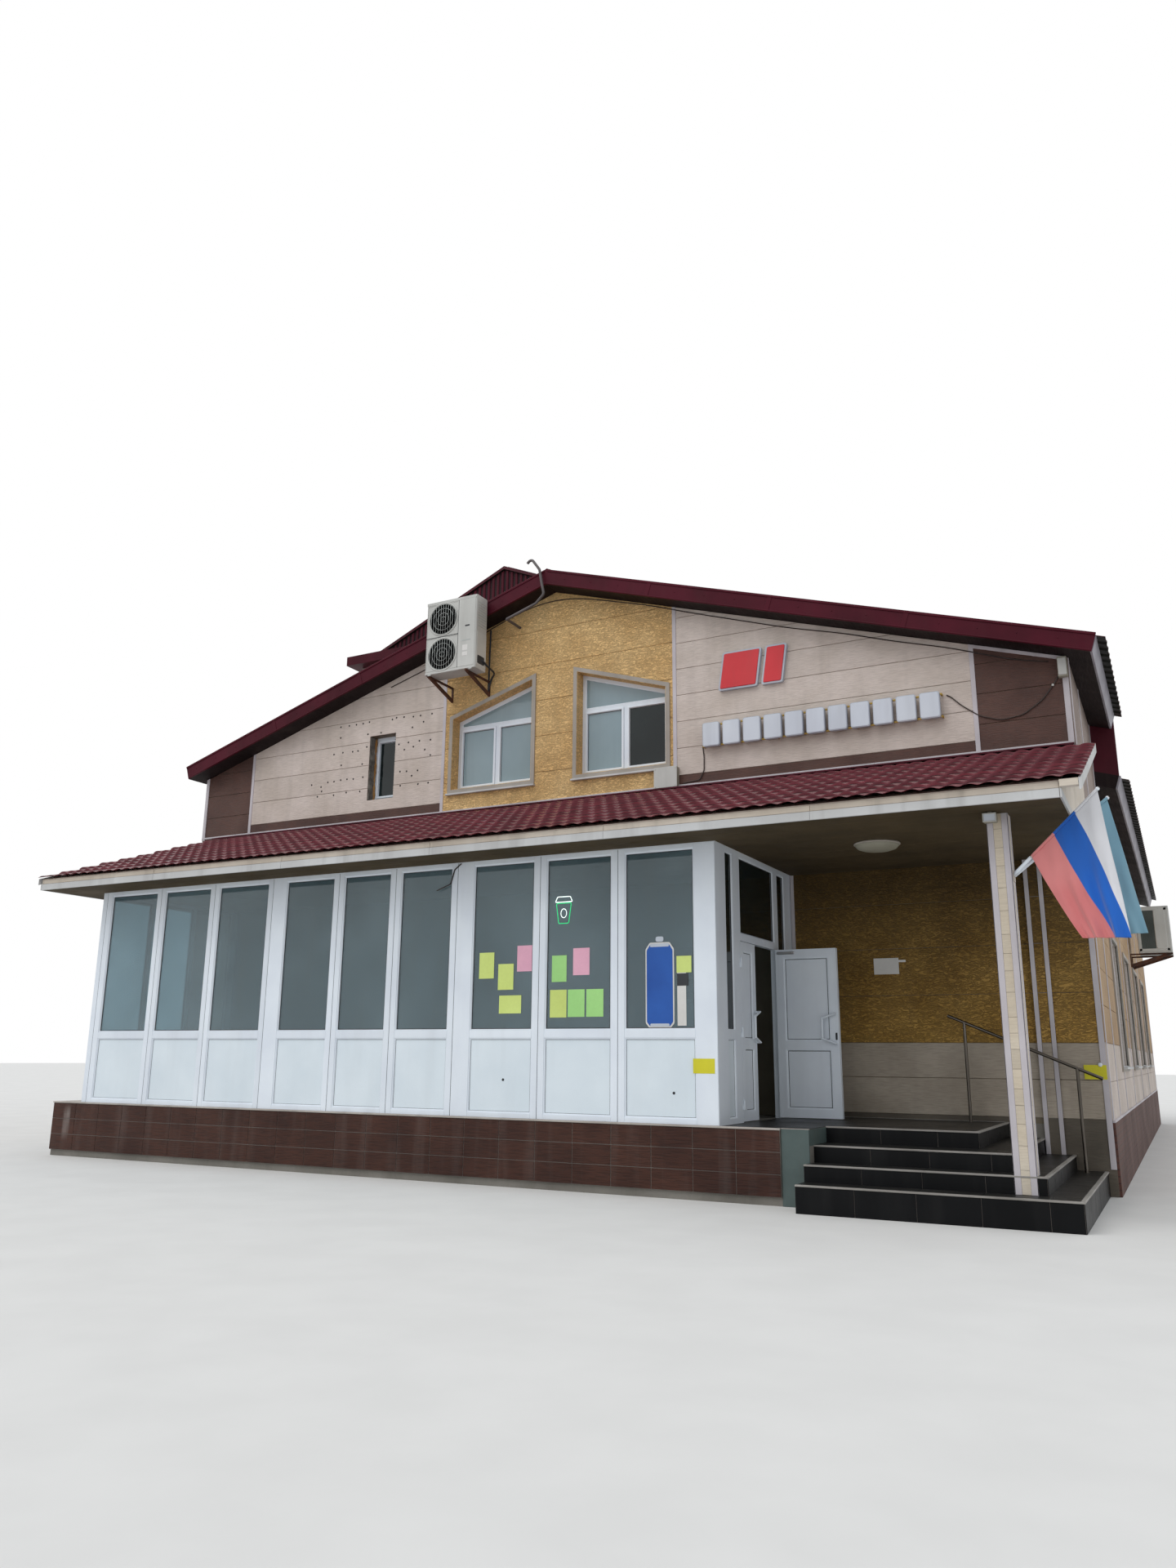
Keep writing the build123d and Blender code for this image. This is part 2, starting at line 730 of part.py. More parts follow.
# Porch front: white frame with a row of lights over a row of infill panels
light_low = rail_mid_z + rail_mid_h / 2
light_high = porch_top_z - frame_w
panel_low = floor_z + frame_w
panel_high = rail_mid_z - rail_mid_h / 2
left_side_bay = (porch_out - frame_t - side_wall_post_w) / left_side_bays
left_side_middles = [-side_wall_post_w - (i + 0.5) * left_side_bay for i in range(left_side_bays)]
with BuildPart() as porch_frame:
    with BuildSketch(Plane.XZ.offset(porch_out - frame_t)):
        with Locations(((porch_left_x + porch_right_x) / 2, (floor_z + porch_top_z) / 2)):
            Rectangle(porch_right_x - porch_left_x, porch_top_z - floor_z)
        for start, end in porch_bays():
            for low, high in ((panel_low, panel_high), (light_low, light_high)):
                with Locations(((start + end) / 2, (low + high) / 2)):
                    Rectangle(end - start, high - low, mode=Mode.SUBTRACT)
    extrude(amount=frame_t)
    with BuildSketch(Plane.YZ.offset(porch_left_x)):
        with Locations((-(porch_out - frame_t) / 2, (floor_z + porch_top_z) / 2)):
            Rectangle(porch_out - frame_t, porch_top_z - floor_z)
        for middle in left_side_middles:
            for low, high in ((panel_low, panel_high), (light_low, light_high)):
                with Locations((middle, (low + high) / 2)):
                    Rectangle(left_side_bay - frame_w, high - low, mode=Mode.SUBTRACT)
    extrude(amount=frame_t)
porch_frame.part.label = "porch_frame"
export_step(porch_frame.part, "parts/porch_frame.step")

# Porch right side: lights beside the doorway, split into posts so that the doorway stays open
side_x = porch_right_x - frame_t
side_lights = ((near_light_y, near_light_w), (far_light_y, far_light_w))
with BuildPart() as entrance_frames:
    with BuildSketch(Plane.YZ.offset(side_x)):
        near_w = porch_out - frame_t + door_near_y
        with Locations((door_near_y - near_w / 2, (floor_z + porch_top_z) / 2)):
            Rectangle(near_w, porch_top_z - floor_z)
        with Locations((door_far_y / 2, (floor_z + porch_top_z) / 2)):
            Rectangle(-door_far_y, porch_top_z - floor_z)
        for y, w in side_lights:
            for low, high in ((panel_low, panel_high), (light_low, light_high)):
                with Locations((y, (low + high) / 2)):
                    Rectangle(w, high - low, mode=Mode.SUBTRACT)
    extrude(amount=frame_t)
entrance_frames.part.label = "entrance_frames"
export_step(entrance_frames.part, "parts/entrance_frames.step")

with BuildPart() as entrance_transom:
    with BuildSketch(Plane.YZ.offset(side_x)):
        with Locations(((door_near_y + door_far_y) / 2, (door_head_z + porch_top_z) / 2)):
            Rectangle(door_far_y - door_near_y, porch_top_z - door_head_z)
        with Locations(((door_near_y + door_far_y) / 2, (door_head_z + door_head_rail + light_high) / 2)):
            Rectangle(door_far_y - door_near_y - frame_w, light_high - door_head_z - door_head_rail,
                      mode=Mode.SUBTRACT)
    extrude(amount=frame_t)
entrance_transom.part.label = "entrance_transom"
export_step(entrance_transom.part, "parts/entrance_transom.step")

# Panes of the porch: front, left side and entrance side, one pane a light
with BuildPart() as porch_glass:
    with BuildSketch(Plane.XZ.offset(porch_out - frame_t / 2 - glass_t / 2)):
        for start, end in porch_bays():
            with Locations(((start + end) / 2, (light_low + light_high) / 2)):
                Rectangle(end - start, light_high - light_low)
    extrude(amount=glass_t)
    with BuildSketch(Plane.YZ.offset(porch_left_x + (frame_t - glass_t) / 2)):
        for middle in left_side_middles:
            with Locations((middle, (light_low + light_high) / 2)):
                Rectangle(left_side_bay - frame_w, light_high - light_low)
    extrude(amount=glass_t)
    with BuildSketch(Plane.YZ.offset(side_x + (frame_t - glass_t) / 2)):
        for y, w in side_lights:
            with Locations((y, (light_low + light_high) / 2)):
                Rectangle(w, light_high - light_low)
        with Locations(((door_near_y + door_far_y) / 2, (door_head_z + door_head_rail + light_high) / 2)):
            Rectangle(door_far_y - door_near_y - frame_w, light_high - door_head_z - door_head_rail)
    extrude(amount=glass_t)
porch_glass.part.label = "porch_glass"
export_step(porch_glass.part, "parts/porch_glass.step")

# Infill panels of the porch, under the lights
with BuildPart() as porch_panels:
    with BuildSketch(Plane.XZ.offset(porch_out - frame_t / 2 - infill_t / 2)):
        for start, end in porch_bays():
            with Locations(((start + end) / 2, (panel_low + panel_high) / 2)):
                Rectangle(end - start, panel_high - panel_low)
    extrude(amount=infill_t)
    with BuildSketch(Plane.YZ.offset(porch_left_x + (frame_t - infill_t) / 2)):
        for middle in left_side_middles:
            with Locations((middle, (panel_low + panel_high) / 2)):
                Rectangle(left_side_bay - frame_w, panel_high - panel_low)
    extrude(amount=infill_t)
    with BuildSketch(Plane.YZ.offset(side_x + (frame_t - infill_t) / 2)):
        for y, w in side_lights:
            with Locations((y, (panel_low + panel_high) / 2)):
                Rectangle(w, panel_high - panel_low)
    extrude(amount=infill_t)
porch_panels.part.label = "porch_panels"
export_step(porch_panels.part, "parts/porch_panels.step")


def door_leaf(width):
    """A leaf closed in its doorway: hinge axis at the origin, leaf towards +Y, outer face towards +X."""
    with BuildPart() as leaf:
        with BuildSketch(Plane.YZ.offset(-hinge_out - frame_t)):
            with Locations((jamb_gap + width / 2, leaf_h / 2)):
                Rectangle(width, leaf_h)
            rail = leaf_rail_z - leaf_z
            for low, high in ((stile_w, rail - leaf_rail_h / 2), (rail + leaf_rail_h / 2, leaf_h - stile_w)):
                with Locations((jamb_gap + width / 2, (low + high) / 2)):
                    Rectangle(width - 2 * stile_w, high - low, mode=Mode.SUBTRACT)
        extrude(amount=frame_t)
        with BuildSketch(Plane.YZ.offset(-hinge_out - (frame_t + infill_t) / 2)):
            with Locations((jamb_gap + width / 2, leaf_h / 2)):
                Rectangle(width - 2 * stile_w, leaf_h - 2 * stile_w)
        extrude(amount=infill_t)
        for height in hinge_heights:
            with BuildSketch(Plane.XY.offset(height + knuckle_gap)):
                Circle(knuckle_r)
                with Locations((-hinge_out / 2, jamb_gap / 2 + knuckle_r / 2)):
                    Rectangle(hinge_out, jamb_gap + knuckle_r)
            extrude(amount=knuckle_h)
    return leaf


def d_handle(width, face_x, outward):
    """A D-shaped pull handle: fixed on the free stile, its grip standing out over the panel."""
    y = jamb_gap + width - handle_fix
    reach = face_x + outward * handle_reach
    top = handle_low + handle_h
    with BuildPart() as handle:
        with BuildLine():
            Polyline(
                (face_x, y, handle_low), (reach, y, handle_low),
                (reach, y - handle_side, handle_low + handle_drop),
                (reach, y - handle_side, top - handle_drop), (reach, y, top), (face_x, y, top),
            )
        with BuildSketch(Plane(origin=(face_x, y, handle_low), z_dir=(outward, 0, 0))):
            Circle(handle_r)
        sweep(transition=Transition.RIGHT)
    return handle


# Active leaf, hinged at the far post and standing open at a right angle
active_body = door_leaf(active_leaf_w)
active_pull = d_handle(active_leaf_w, -hinge_out - frame_t, -1)
with BuildPart() as door_leaf_active:
    for piece in (active_body, active_pull):
        add(piece.part.mirror(Plane.XZ).moved(
            Location((porch_right_x + hinge_out, door_far_y, leaf_z), (0, 0, 90))))
door_leaf_active.part.label = "door_leaf_active"
export_step(door_leaf_active.part, "parts/door_leaf_active.step")

# Passive leaf, hinged at the near post and closed
passive_body = door_leaf(passive_leaf_w)
passive_pull = d_handle(passive_leaf_w, -hinge_out, 1)
with BuildPart() as door_leaf_passive:
    for piece in (passive_body, passive_pull):
        add(piece.part.moved(Location((porch_right_x + hinge_out, door_near_y, leaf_z))))
door_leaf_passive.part.label = "door_leaf_passive"
export_step(door_leaf_passive.part, "parts/door_leaf_passive.step")

# Fixed hinge knuckles on the two door posts, under the knuckles of the leaves
with BuildPart() as door_hinges:
    for y, side in ((door_near_y, -1), (door_far_y, 1)):
        for height in hinge_heights:
            with BuildSketch(Plane.XY.offset(leaf_z + height - knuckle_h)):
                with Locations((porch_right_x + hinge_out, y)):
                    Circle(knuckle_r)
                with Locations((porch_right_x + hinge_out / 2, y + side * hinge_out)):
                    Rectangle(hinge_out, 2 * hinge_out)
            extrude(amount=knuckle_h)
door_hinges.part.label = "door_hinges"
export_step(door_hinges.part, "parts/door_hinges.step")

# Canopy: tiled roof in stepped courses over a boxed body, whose front is the fascia and underside the soffit
canopy_eave_z = canopy_line(-canopy_out)
with BuildPart() as canopy_roof:
    with BuildSketch(Plane.YZ.offset(canopy_left_x - canopy_left_verge)):
        run = canopy_out + canopy_eave
        points = [(0, canopy_wall_z - canopy_tile_t), (0, canopy_wall_z)]
        for i in range(1, canopy_courses + 1):
            y = -run * i / canopy_courses
            points += [(y, canopy_line(y) + canopy_course_step)]
            if i < canopy_courses:
                points += [(y, canopy_line(y))]
        points += [(-run, canopy_line(-run) - canopy_tile_t)]
        Polygon(*points, align=None)
    extrude(amount=canopy_right_x - canopy_left_x + canopy_left_verge + canopy_right_verge)
canopy_roof.part.label = "canopy_roof"
export_step(canopy_roof.part, "parts/canopy_roof.step")

with BuildPart() as canopy_box:
    with BuildSketch(Plane.YZ.offset(canopy_left_x)):
        Polygon(
            (0, porch_top_z), (0, canopy_wall_z - canopy_tile_t), (-canopy_out, canopy_eave_z - canopy_tile_t),
            (-canopy_out, porch_top_z), align=None,
        )
    extrude(amount=canopy_right_x - canopy_left_x)
canopy_box.part.label = "canopy_box"
export_step(canopy_box.part, "parts/canopy_box.step")

# Column at the canopy's corner and the pilaster on the wall behind it
with BuildPart() as columns:
    with BuildSketch(Plane.XY.offset(step_tops[0])):
        with Locations((column_x, -column_out)):
            Rectangle(column_w, column_w)
    extrude(amount=porch_top_z - step_tops[0])
    with BuildSketch(Plane.XY.offset(step_tops[1])):
        with Locations((pilaster_x, 0)):
            Rectangle(pilaster_w, pilaster_t, align=(Align.CENTER, Align.MAX))
    extrude(amount=porch_top_z - step_tops[1])
columns.part.label = "columns"
export_step(columns.part, "parts/columns.step")

# Flagpoles: a foot plate on the column carries both
with BuildPart() as flagpoles:
    plate_x = column_x + column_w / 2
    with BuildSketch(Plane.YZ.offset(plate_x)):
        with Locations(((pole_feet[0] + pole_feet[1]) / 2, pole_foot_z)):
            Rectangle(pole_plate_w, pole_plate_h)
    extrude(amount=pole_plate_t)
    for foot_y, tip in zip(pole_feet, pole_tips):
        with BuildLine():
            pole = Line((plate_x, foot_y, pole_foot_z), tip)
        with BuildSketch(Plane(origin=pole @ 0, z_dir=pole % 0)):
            Circle(pole_r)
        sweep()
    with BuildSketch(Plane.YZ.offset(plate_x)):
        with Locations((-column_out, pole_foot_z)):
            Rectangle(pole_cut_w, pole_cut_w)
    extrude(amount=-pole_plate_t, mode=Mode.SUBTRACT)
flagpoles.part.label = "flagpoles"
export_step(flagpoles.part, "parts/flagpoles.step")


def flag(index):
    """A flag hanging in the upright plane of its pole, its top edge along the pole."""
    foot = Vector(plate_x, pole_feet[index], 0)
    tip = Vector(*pole_tips[index])
    along = Vector(tip.X - foot.X, tip.Y - foot.Y, 0)
    rise = (tip.Z - pole_foot_z) / along.length
    hang = (pole_r + flag_gap) * (1 + rise ** 2) ** 0.5
    plane = Plane(origin=foot, x_dir=along, z_dir=along.cross(Vector(0, 0, 1)))
    start, end = flag_tops[index]
    with BuildPart() as cloth:
        with BuildSketch(plane.offset(-flag_t / 2)):
            Polygon(
                (start, pole_foot_z + start * rise - hang), (end, pole_foot_z + end * rise - hang),
                flag_lows[index][1], flag_lows[index][0], align=None,
            )
        extrude(amount=flag_t)
    return cloth


# Flags: the near one and the one behind it
flag_front = flag(0)
flag_front.part.label = "flag_front"
export_step(flag_front.part, "parts/flag_front.step")

flag_rear = flag(1)
flag_rear.part.label = "flag_rear"
export_step(flag_rear.part, "parts/flag_rear.step")

# Handrail: two posts on foot plates carry a sloping round rail
with BuildPart() as handrail:
    for x, foot_z, top_z in handrail_posts:
        with BuildSketch(Plane.XY.offset(foot_z)):
            with Locations((x, -handrail_out)):
                Circle(handrail_foot_r)
        extrude(amount=handrail_foot_t)
        with BuildSketch(Plane.XY.offset(foot_z)):
            with Locations((x, -handrail_out)):
                Circle(handrail_r)
        extrude(amount=top_z - foot_z)
    with BuildLine():
        rail = Line((handrail_start[0], -handrail_out, handrail_start[1]),
                    (handrail_end[0], -handrail_out, handrail_end[1]))
    with BuildSketch(Plane(origin=rail @ 0, z_dir=rail % 0)):
        Circle(handrail_r)
    sweep()
handrail.part.label = "handrail"
export_step(handrail.part, "parts/handrail.step")



def window_frame(width, height):
    """Two sashes side by side in one frame, drawn on a sketch about the window's centre."""
    Rectangle(width, height)
    Rectangle(width - 2 * sash_w, height - 2 * sash_w, mode=Mode.SUBTRACT)
    Rectangle(sash_w, height - 2 * sash_w)


def window_panes(width, height):
    """The two panes between the frame and the middle post."""
    Rectangle(width - 2 * sash_w, height - 2 * sash_w)
    Rectangle(sash_w, height, mode=Mode.SUBTRACT)


def window_casing(width, height):
    """Flat casing round an opening, on the wall's face."""
    Rectangle(width + 2 * casing_w, height + 2 * casing_w)
    Rectangle(width, height, mode=Mode.SUBTRACT)


# Rows of windows on the two long sides: place, width and height of each
lower_row = [(y, z, side_window_h) for y, z in
             side_window_places(side_window_sill, side_window_h, side_window_count)]
upper_row = [(y, z, upper_window_h) for y, z in
             side_window_places(upper_window_sill, upper_window_h, side_window_count)[1:]]
rear_row = [(x, side_window_sill + side_window_h / 2, side_window_h)
            for centre in (raised_ridge_x, (raised_right_x + half_width) / 2)
            for x in (centre - side_window_pitch / 2, centre + side_window_pitch / 2)]
rear_row += [(raised_ridge_x + k * side_window_pitch / 2, upper_window_sill + upper_window_h / 2, upper_window_h)
             for k in (-1, 1)]


right_face = Plane.YZ.offset(half_width)
left_face = Plane(origin=(-half_width, 0, 0), x_dir=(0, -1, 0), z_dir=(-1, 0, 0))
rear_face = Plane(origin=(0, depth, 0), x_dir=(-1, 0, 0), z_dir=(0, 1, 0))
left_places = [(-y, z, height) for y, z, height in lower_row + upper_row]
rear_places = [(-x, z, height) for x, z, height in rear_row]
pane_in = reveal_depth + (sash_t - glass_t) / 2
near_light = gable_window_in + casing_w + sash_w
far_light = gable_window_out - casing_w - sash_w
small_window_z = small_window_sill + small_window_h / 2

# Casings on the wall round the two front windows and the right wall's windows
with BuildPart() as window_casings:
    for side in (-1, 1):
        with BuildSketch(Plane.XZ):
            Polygon(*gable_window_outline(side, 0), align=None)
            Polygon(*gable_window_outline(side, casing_w), align=None, mode=Mode.SUBTRACT)
        extrude(amount=casing_t)
    with BuildSketch(right_face):
        for along, z, height in lower_row:
            with Locations((along, z)):
                window_casing(side_window_w, height)
    extrude(amount=casing_t)
window_casings.part.label = "window_casings"
export_step(window_casings.part, "parts/window_casings.step")

# Frames of the front windows, with a transom and a mullion, and of the small window beside them
with BuildPart() as front_window_frames:
    for side in (-1, 1):
        with BuildSketch(Plane.XZ.offset(-reveal_depth)):
            Polygon(*gable_window_outline(side, casing_w), align=None)
            Polygon(*gable_window_outline(side, casing_w + sash_w), align=None, mode=Mode.SUBTRACT)
            with Locations((side * (near_light + far_light) / 2, gable_transom_z)):
                Rectangle(far_light - near_light, sash_w)
            with Locations((side * (near_light + far_light) / 2, (gable_sill_z + gable_transom_z + casing_w) / 2)):
                Rectangle(sash_w, gable_transom_z - gable_sill_z - casing_w)
        extrude(amount=-sash_t)
    with BuildSketch(Plane.XZ.offset(-reveal_depth)):
        with Locations((small_window_x, small_window_z)):
            Rectangle(small_window_w, small_window_h)
            Rectangle(small_window_w - 2 * sash_w, small_window_h - 2 * sash_w, mode=Mode.SUBTRACT)
    extrude(amount=-sash_t)
front_window_frames.part.label = "front_window_frames"
export_step(front_window_frames.part, "parts/front_window_frames.step")

# Frames of the windows on the two long sides and the rear
with BuildPart() as side_window_frames:
    for face, places in ((right_face, lower_row), (left_face, left_places), (rear_face, rear_places)):
        with BuildSketch(face.offset(-reveal_depth)):
            for along, z, height in places:
                with Locations((along, z)):
                    window_frame(side_window_w, height)
        extrude(amount=-sash_t)
side_window_frames.part.label = "side_window_frames"
export_step(side_window_frames.part, "parts/side_window_frames.step")

# Panes of every window of the main block
with BuildPart() as window_glass:
    for side in (-1, 1):
        middle = side * (near_light + far_light) / 2
        with BuildSketch(Plane.XZ.offset(-pane_in)):
            Polygon(*gable_window_outline(side, casing_w + sash_w), align=None)
            with Locations((middle, gable_transom_z)):
                Rectangle(far_light - near_light + sash_w, sash_w, mode=Mode.SUBTRACT)
            with Locations((middle, (gable_sill_z + gable_transom_z) / 2)):
                Rectangle(sash_w, gable_transom_z - gable_sill_z, mode=Mode.SUBTRACT)
        extrude(amount=-glass_t)
    with BuildSketch(Plane.XZ.offset(-pane_in)):
        with Locations((small_window_x, small_window_z)):
            Rectangle(small_window_w - 2 * sash_w, small_window_h - 2 * sash_w)
    extrude(amount=-glass_t)
    for face, places in ((right_face, lower_row), (left_face, left_places), (rear_face, rear_places)):
        with BuildSketch(face.offset(-pane_in)):
            for along, z, height in places:
                with Locations((along, z)):
                    window_panes(side_window_w, height)
        extrude(amount=-glass_t)
window_glass.part.label = "window_glass"
export_step(window_glass.part, "parts/window_glass.step")

# Outdoor units: pressed cases with round fan openings, guards and hubs
ac_back_y = -ac_gap
ac_front_y = ac_back_y - ac_d
with BuildPart() as ac_units:
    with BuildSketch(Plane.XY.offset(ac_z)):
        with Locations((ac_x, (ac_back_y + ac_front_y) / 2)):
            RectangleRounded(ac_w, ac_d, ac_corner_r)
    extrude(amount=ac_h)
    for z in (ac_fan_low_z, ac_fan_high_z):
        with BuildSketch(Plane.XZ.offset(-ac_front_y)):
            with Locations((ac_fan_x, z)):
                Circle(ac_fan_r)
        extrude(amount=-ac_fan_depth, mode=Mode.SUBTRACT)
        with BuildSketch(Plane.XZ.offset(-ac_front_y - ac_fan_depth)):
            with Locations((ac_fan_x, z)):
                Circle(ac_hub_r)
        extrude(amount=ac_hub_h)
        with BuildSketch(Plane.XZ.offset(-ac_front_y)):
            with Locations((ac_fan_x, z)):
                Circle(ac_fan_r + ac_ring_w)
                Circle(ac_fan_r, mode=Mode.SUBTRACT)
        extrude(amount=ac_ring_t)
    with BuildSketch(Plane.XY.offset(side_ac_z)):
        with Locations((half_width + side_ac_gap + side_ac_d / 2, side_ac_y)):
            RectangleRounded(side_ac_d, side_ac_w, ac_corner_r)
    extrude(amount=side_ac_h)
    side_ac_face = half_width + side_ac_gap + side_ac_d
    with BuildSketch(Plane.YZ.offset(side_ac_face)):
        with Locations((side_ac_y, side_ac_z + side_ac_h / 2)):
            Circle(ac_fan_r)
    extrude(amount=-ac_fan_depth, mode=Mode.SUBTRACT)
    with BuildSketch(Plane.YZ.offset(side_ac_face - ac_fan_depth)):
        with Locations((side_ac_y, side_ac_z + side_ac_h / 2)):
            Circle(ac_hub_r)
    extrude(amount=ac_hub_h)
ac_units.part.label = "ac_units"
export_step(ac_units.part, "parts/ac_units.step")

# Steel brackets that carry the outdoor units on the walls
with BuildPart() as ac_brackets:
    for x in ac_bracket_xs:
        with BuildSketch(Plane.YZ.offset(x - ac_bracket_t / 2)):
            Polygon(
                (0, ac_z), (ac_front_y, ac_z), (ac_front_y, ac_z - ac_bracket_t),
                (-ac_bracket_t, ac_z - ac_bracket_drop), (0, ac_z - ac_bracket_drop), align=None,
            )
            Polygon(
                (-ac_bracket_t, ac_z - ac_bracket_t), (ac_front_y + ac_bracket_web, ac_z - ac_bracket_t),
                (-ac_bracket_t, ac_z - ac_bracket_drop + ac_bracket_toe), align=None, mode=Mode.SUBTRACT,
            )
        extrude(amount=ac_bracket_t)
    for y in (side_ac_y - side_ac_bracket_y, side_ac_y + side_ac_bracket_y):
        with BuildSketch(Plane.XZ.offset(-y - ac_bracket_t / 2)):
            Polygon(
                (half_width, side_ac_z), (side_ac_face, side_ac_z), (side_ac_face, side_ac_z - ac_bracket_t),
                (half_width + ac_bracket_t, side_ac_z - ac_bracket_drop),
                (half_width, side_ac_z - ac_bracket_drop), align=None,
            )
            Polygon(
                (half_width + ac_bracket_t, side_ac_z - ac_bracket_t),
                (side_ac_face - ac_bracket_web, side_ac_z - ac_bracket_t),
                (half_width + ac_bracket_t, side_ac_z - ac_bracket_drop + ac_bracket_toe),
                align=None, mode=Mode.SUBTRACT,
            )
        extrude(amount=ac_bracket_t)
ac_brackets.part.label = "ac_brackets"
export_step(ac_brackets.part, "parts/ac_brackets.step")

# Conduit: leaves the wall under the verge, passes in front of it and bends over at the top
with BuildPart() as service_conduit:
    with BuildSketch(Plane.XZ):
        with Locations(conduit_points[0]):
            Circle(conduit_r)
    extrude(amount=conduit_out)
    with BuildLine(Plane.XZ.offset(conduit_out)):
        route = FilletPolyline(*conduit_points, radius=conduit_bend)
    with BuildSketch(Plane(origin=route @ 0, z_dir=route % 0)):
        Circle(conduit_r)
    sweep()
service_conduit.part.label = "service_conduit"
export_step(service_conduit.part, "parts/service_conduit.step")

# Lamps under the canopy, lamp at the wall's corner, and the junction box over the canopy
with BuildPart() as wall_fittings:
    with BuildSketch(Plane.XY.offset(porch_top_z)):
        with Locations(dome_lamp):
            Circle(dome_lamp_r)
    extrude(amount=-dome_lamp_h, taper=dome_lamp_taper)
    with BuildSketch(Plane.XY.offset(porch_top_z)):
        with Locations(flood_lamp):
            Rectangle(flood_stem_w, flood_stem_w)
    extrude(amount=-flood_stem_h)
    with BuildSketch(Plane.XY.offset(porch_top_z - flood_stem_h)):
        with Locations(flood_lamp):
            Rectangle(flood_lamp_w, flood_lamp_d)
    extrude(amount=-flood_lamp_h)
    with BuildSketch(Plane.XZ):
        with Locations(corner_lamp):
            Rectangle(corner_lamp_w, corner_lamp_h, align=(Align.CENTER, Align.MIN))
    extrude(amount=corner_lamp_w)
    with BuildSketch(Plane.XZ):
        with Locations(junction_box):
            Rectangle(junction_box_w, junction_box_h, align=(Align.CENTER, Align.MIN))
    extrude(amount=junction_box_t)
wall_fittings.part.label = "wall_fittings"
export_step(wall_fittings.part, "parts/wall_fittings.step")

# Sign: two rails on stand-offs, a row of plates, and two slanted red panels
with BuildPart() as sign_rails:
    for z in (rail_low_z, rail_high_z):
        with BuildSketch(Plane.XZ.offset(rail_out - rail_bar)):
            with Locations(((rail_left_x + rail_right_x) / 2, z)):
                Rectangle(rail_right_x - rail_left_x, rail_bar)
        extrude(amount=rail_bar)
        with BuildSketch(Plane.XZ):
            with Locations(((rail_left_x + rail_right_x) / 2, z)):
                with GridLocations((rail_right_x - rail_left_x - rail_bar) / 3, 1, 4, 1):
                    Rectangle(rail_bar, rail_bar)
        extrude(amount=rail_out - rail_bar)
sign_rails.part.label = "sign_rails"
export_step(sign_rails.part, "parts/sign_rails.step")

with BuildPart() as sign_plates:
    with BuildSketch(Plane.XZ.offset(rail_out)):
        with Locations(((rail_left_x + rail_right_x) / 2, (rail_low_z + rail_high_z) / 2)):
            with GridLocations((rail_right_x - rail_left_x) / plate_count, 1, plate_count, 1):
                RectangleRounded(plate_w, plate_h, plate_corner_r)
    extrude(amount=plate_t)
sign_plates.part.label = "sign_plates"
export_step(sign_plates.part, "parts/sign_plates.step")

with BuildPart() as sign_panels:
    for x, w in red_panels:
        with BuildSketch(Plane.XZ):
            Polygon(
                (x, red_panel_z), (x + w, red_panel_z), (x + w + red_panel_lean, red_panel_z + red_panel_h),
                (x + red_panel_lean, red_panel_z + red_panel_h), align=None,
            )
            fillet(vertices(), radius=plate_corner_r)
        extrude(amount=red_panel_t)
sign_panels.part.label = "sign_panels"
export_step(sign_panels.part, "parts/sign_panels.step")
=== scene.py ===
"""Looks of a gabled shopping building: boards, wave-tiled canopy, glazed porch, doors, steps, signs and flags.

Sizes are in metres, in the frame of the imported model: +X along the front, +Y into the building, +Z up.
"""

import logging
import math
from collections.abc import Sequence
from dataclasses import dataclass, replace
from enum import Enum
from functools import cached_property

import bpy
import numpy as np
from mathutils import Matrix, Vector


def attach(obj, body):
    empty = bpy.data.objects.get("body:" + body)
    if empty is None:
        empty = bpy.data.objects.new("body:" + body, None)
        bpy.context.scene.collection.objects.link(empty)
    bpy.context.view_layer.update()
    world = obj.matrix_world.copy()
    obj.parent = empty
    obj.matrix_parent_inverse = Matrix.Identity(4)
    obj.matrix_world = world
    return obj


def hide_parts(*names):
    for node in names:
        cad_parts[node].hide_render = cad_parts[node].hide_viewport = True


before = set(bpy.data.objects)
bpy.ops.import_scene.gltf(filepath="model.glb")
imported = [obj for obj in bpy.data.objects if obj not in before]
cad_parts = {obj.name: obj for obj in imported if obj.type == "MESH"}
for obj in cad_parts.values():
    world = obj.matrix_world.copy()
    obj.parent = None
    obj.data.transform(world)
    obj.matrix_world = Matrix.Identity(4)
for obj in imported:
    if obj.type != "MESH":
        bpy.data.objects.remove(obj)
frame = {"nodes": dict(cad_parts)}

Array = np.ndarray
Point = tuple[float, float, float]
Colour = tuple[int, int, int]

LOG = logging.getLogger("building")
BUILDING = "building"

PITCH = math.radians(17.4)
FALL = math.tan(PITCH)
HALF_WIDTH = 7.56
DEPTH = 18.0
FLOOR = 0.785
DECK_UNDER = 8.9385
REAR_UNDER = DECK_UNDER - 0.95
RIDGE = 9.19
PORCH_Y = -2.844
PORCH_TOP = 3.98
CANOPY_WALL = 5.39
CANOPY_FALL = 1.225 / 3.52


@dataclass(frozen=True)
class Face:
    """A flat face with its own axes: along it, up it and out of it."""

    origin: Point
    along: Point = (1.0, 0.0, 0.0)
    up: Point = (0.0, 0.0, 1.0)
    out: Point = (0.0, -1.0, 0.0)

    def place(self, a: Array | float, u: Array | float, o: Array | float) -> Array:
        """Points at origin + a * along + u * up + o * out.

        Args:
            a: Distances along the face.
            u: Distances up the face.
            o: Distances out of the face.

        Returns:
            The points, with one more axis of three numbers.
        """
        a, u, o = np.broadcast_arrays(*(np.asarray(x, float) for x in (a, u, o)))
        axes = (np.array(x) for x in (self.along, self.up, self.out))
        return np.array(self.origin) + sum(x[..., None] * axis for x, axis in zip((a, u, o), axes))


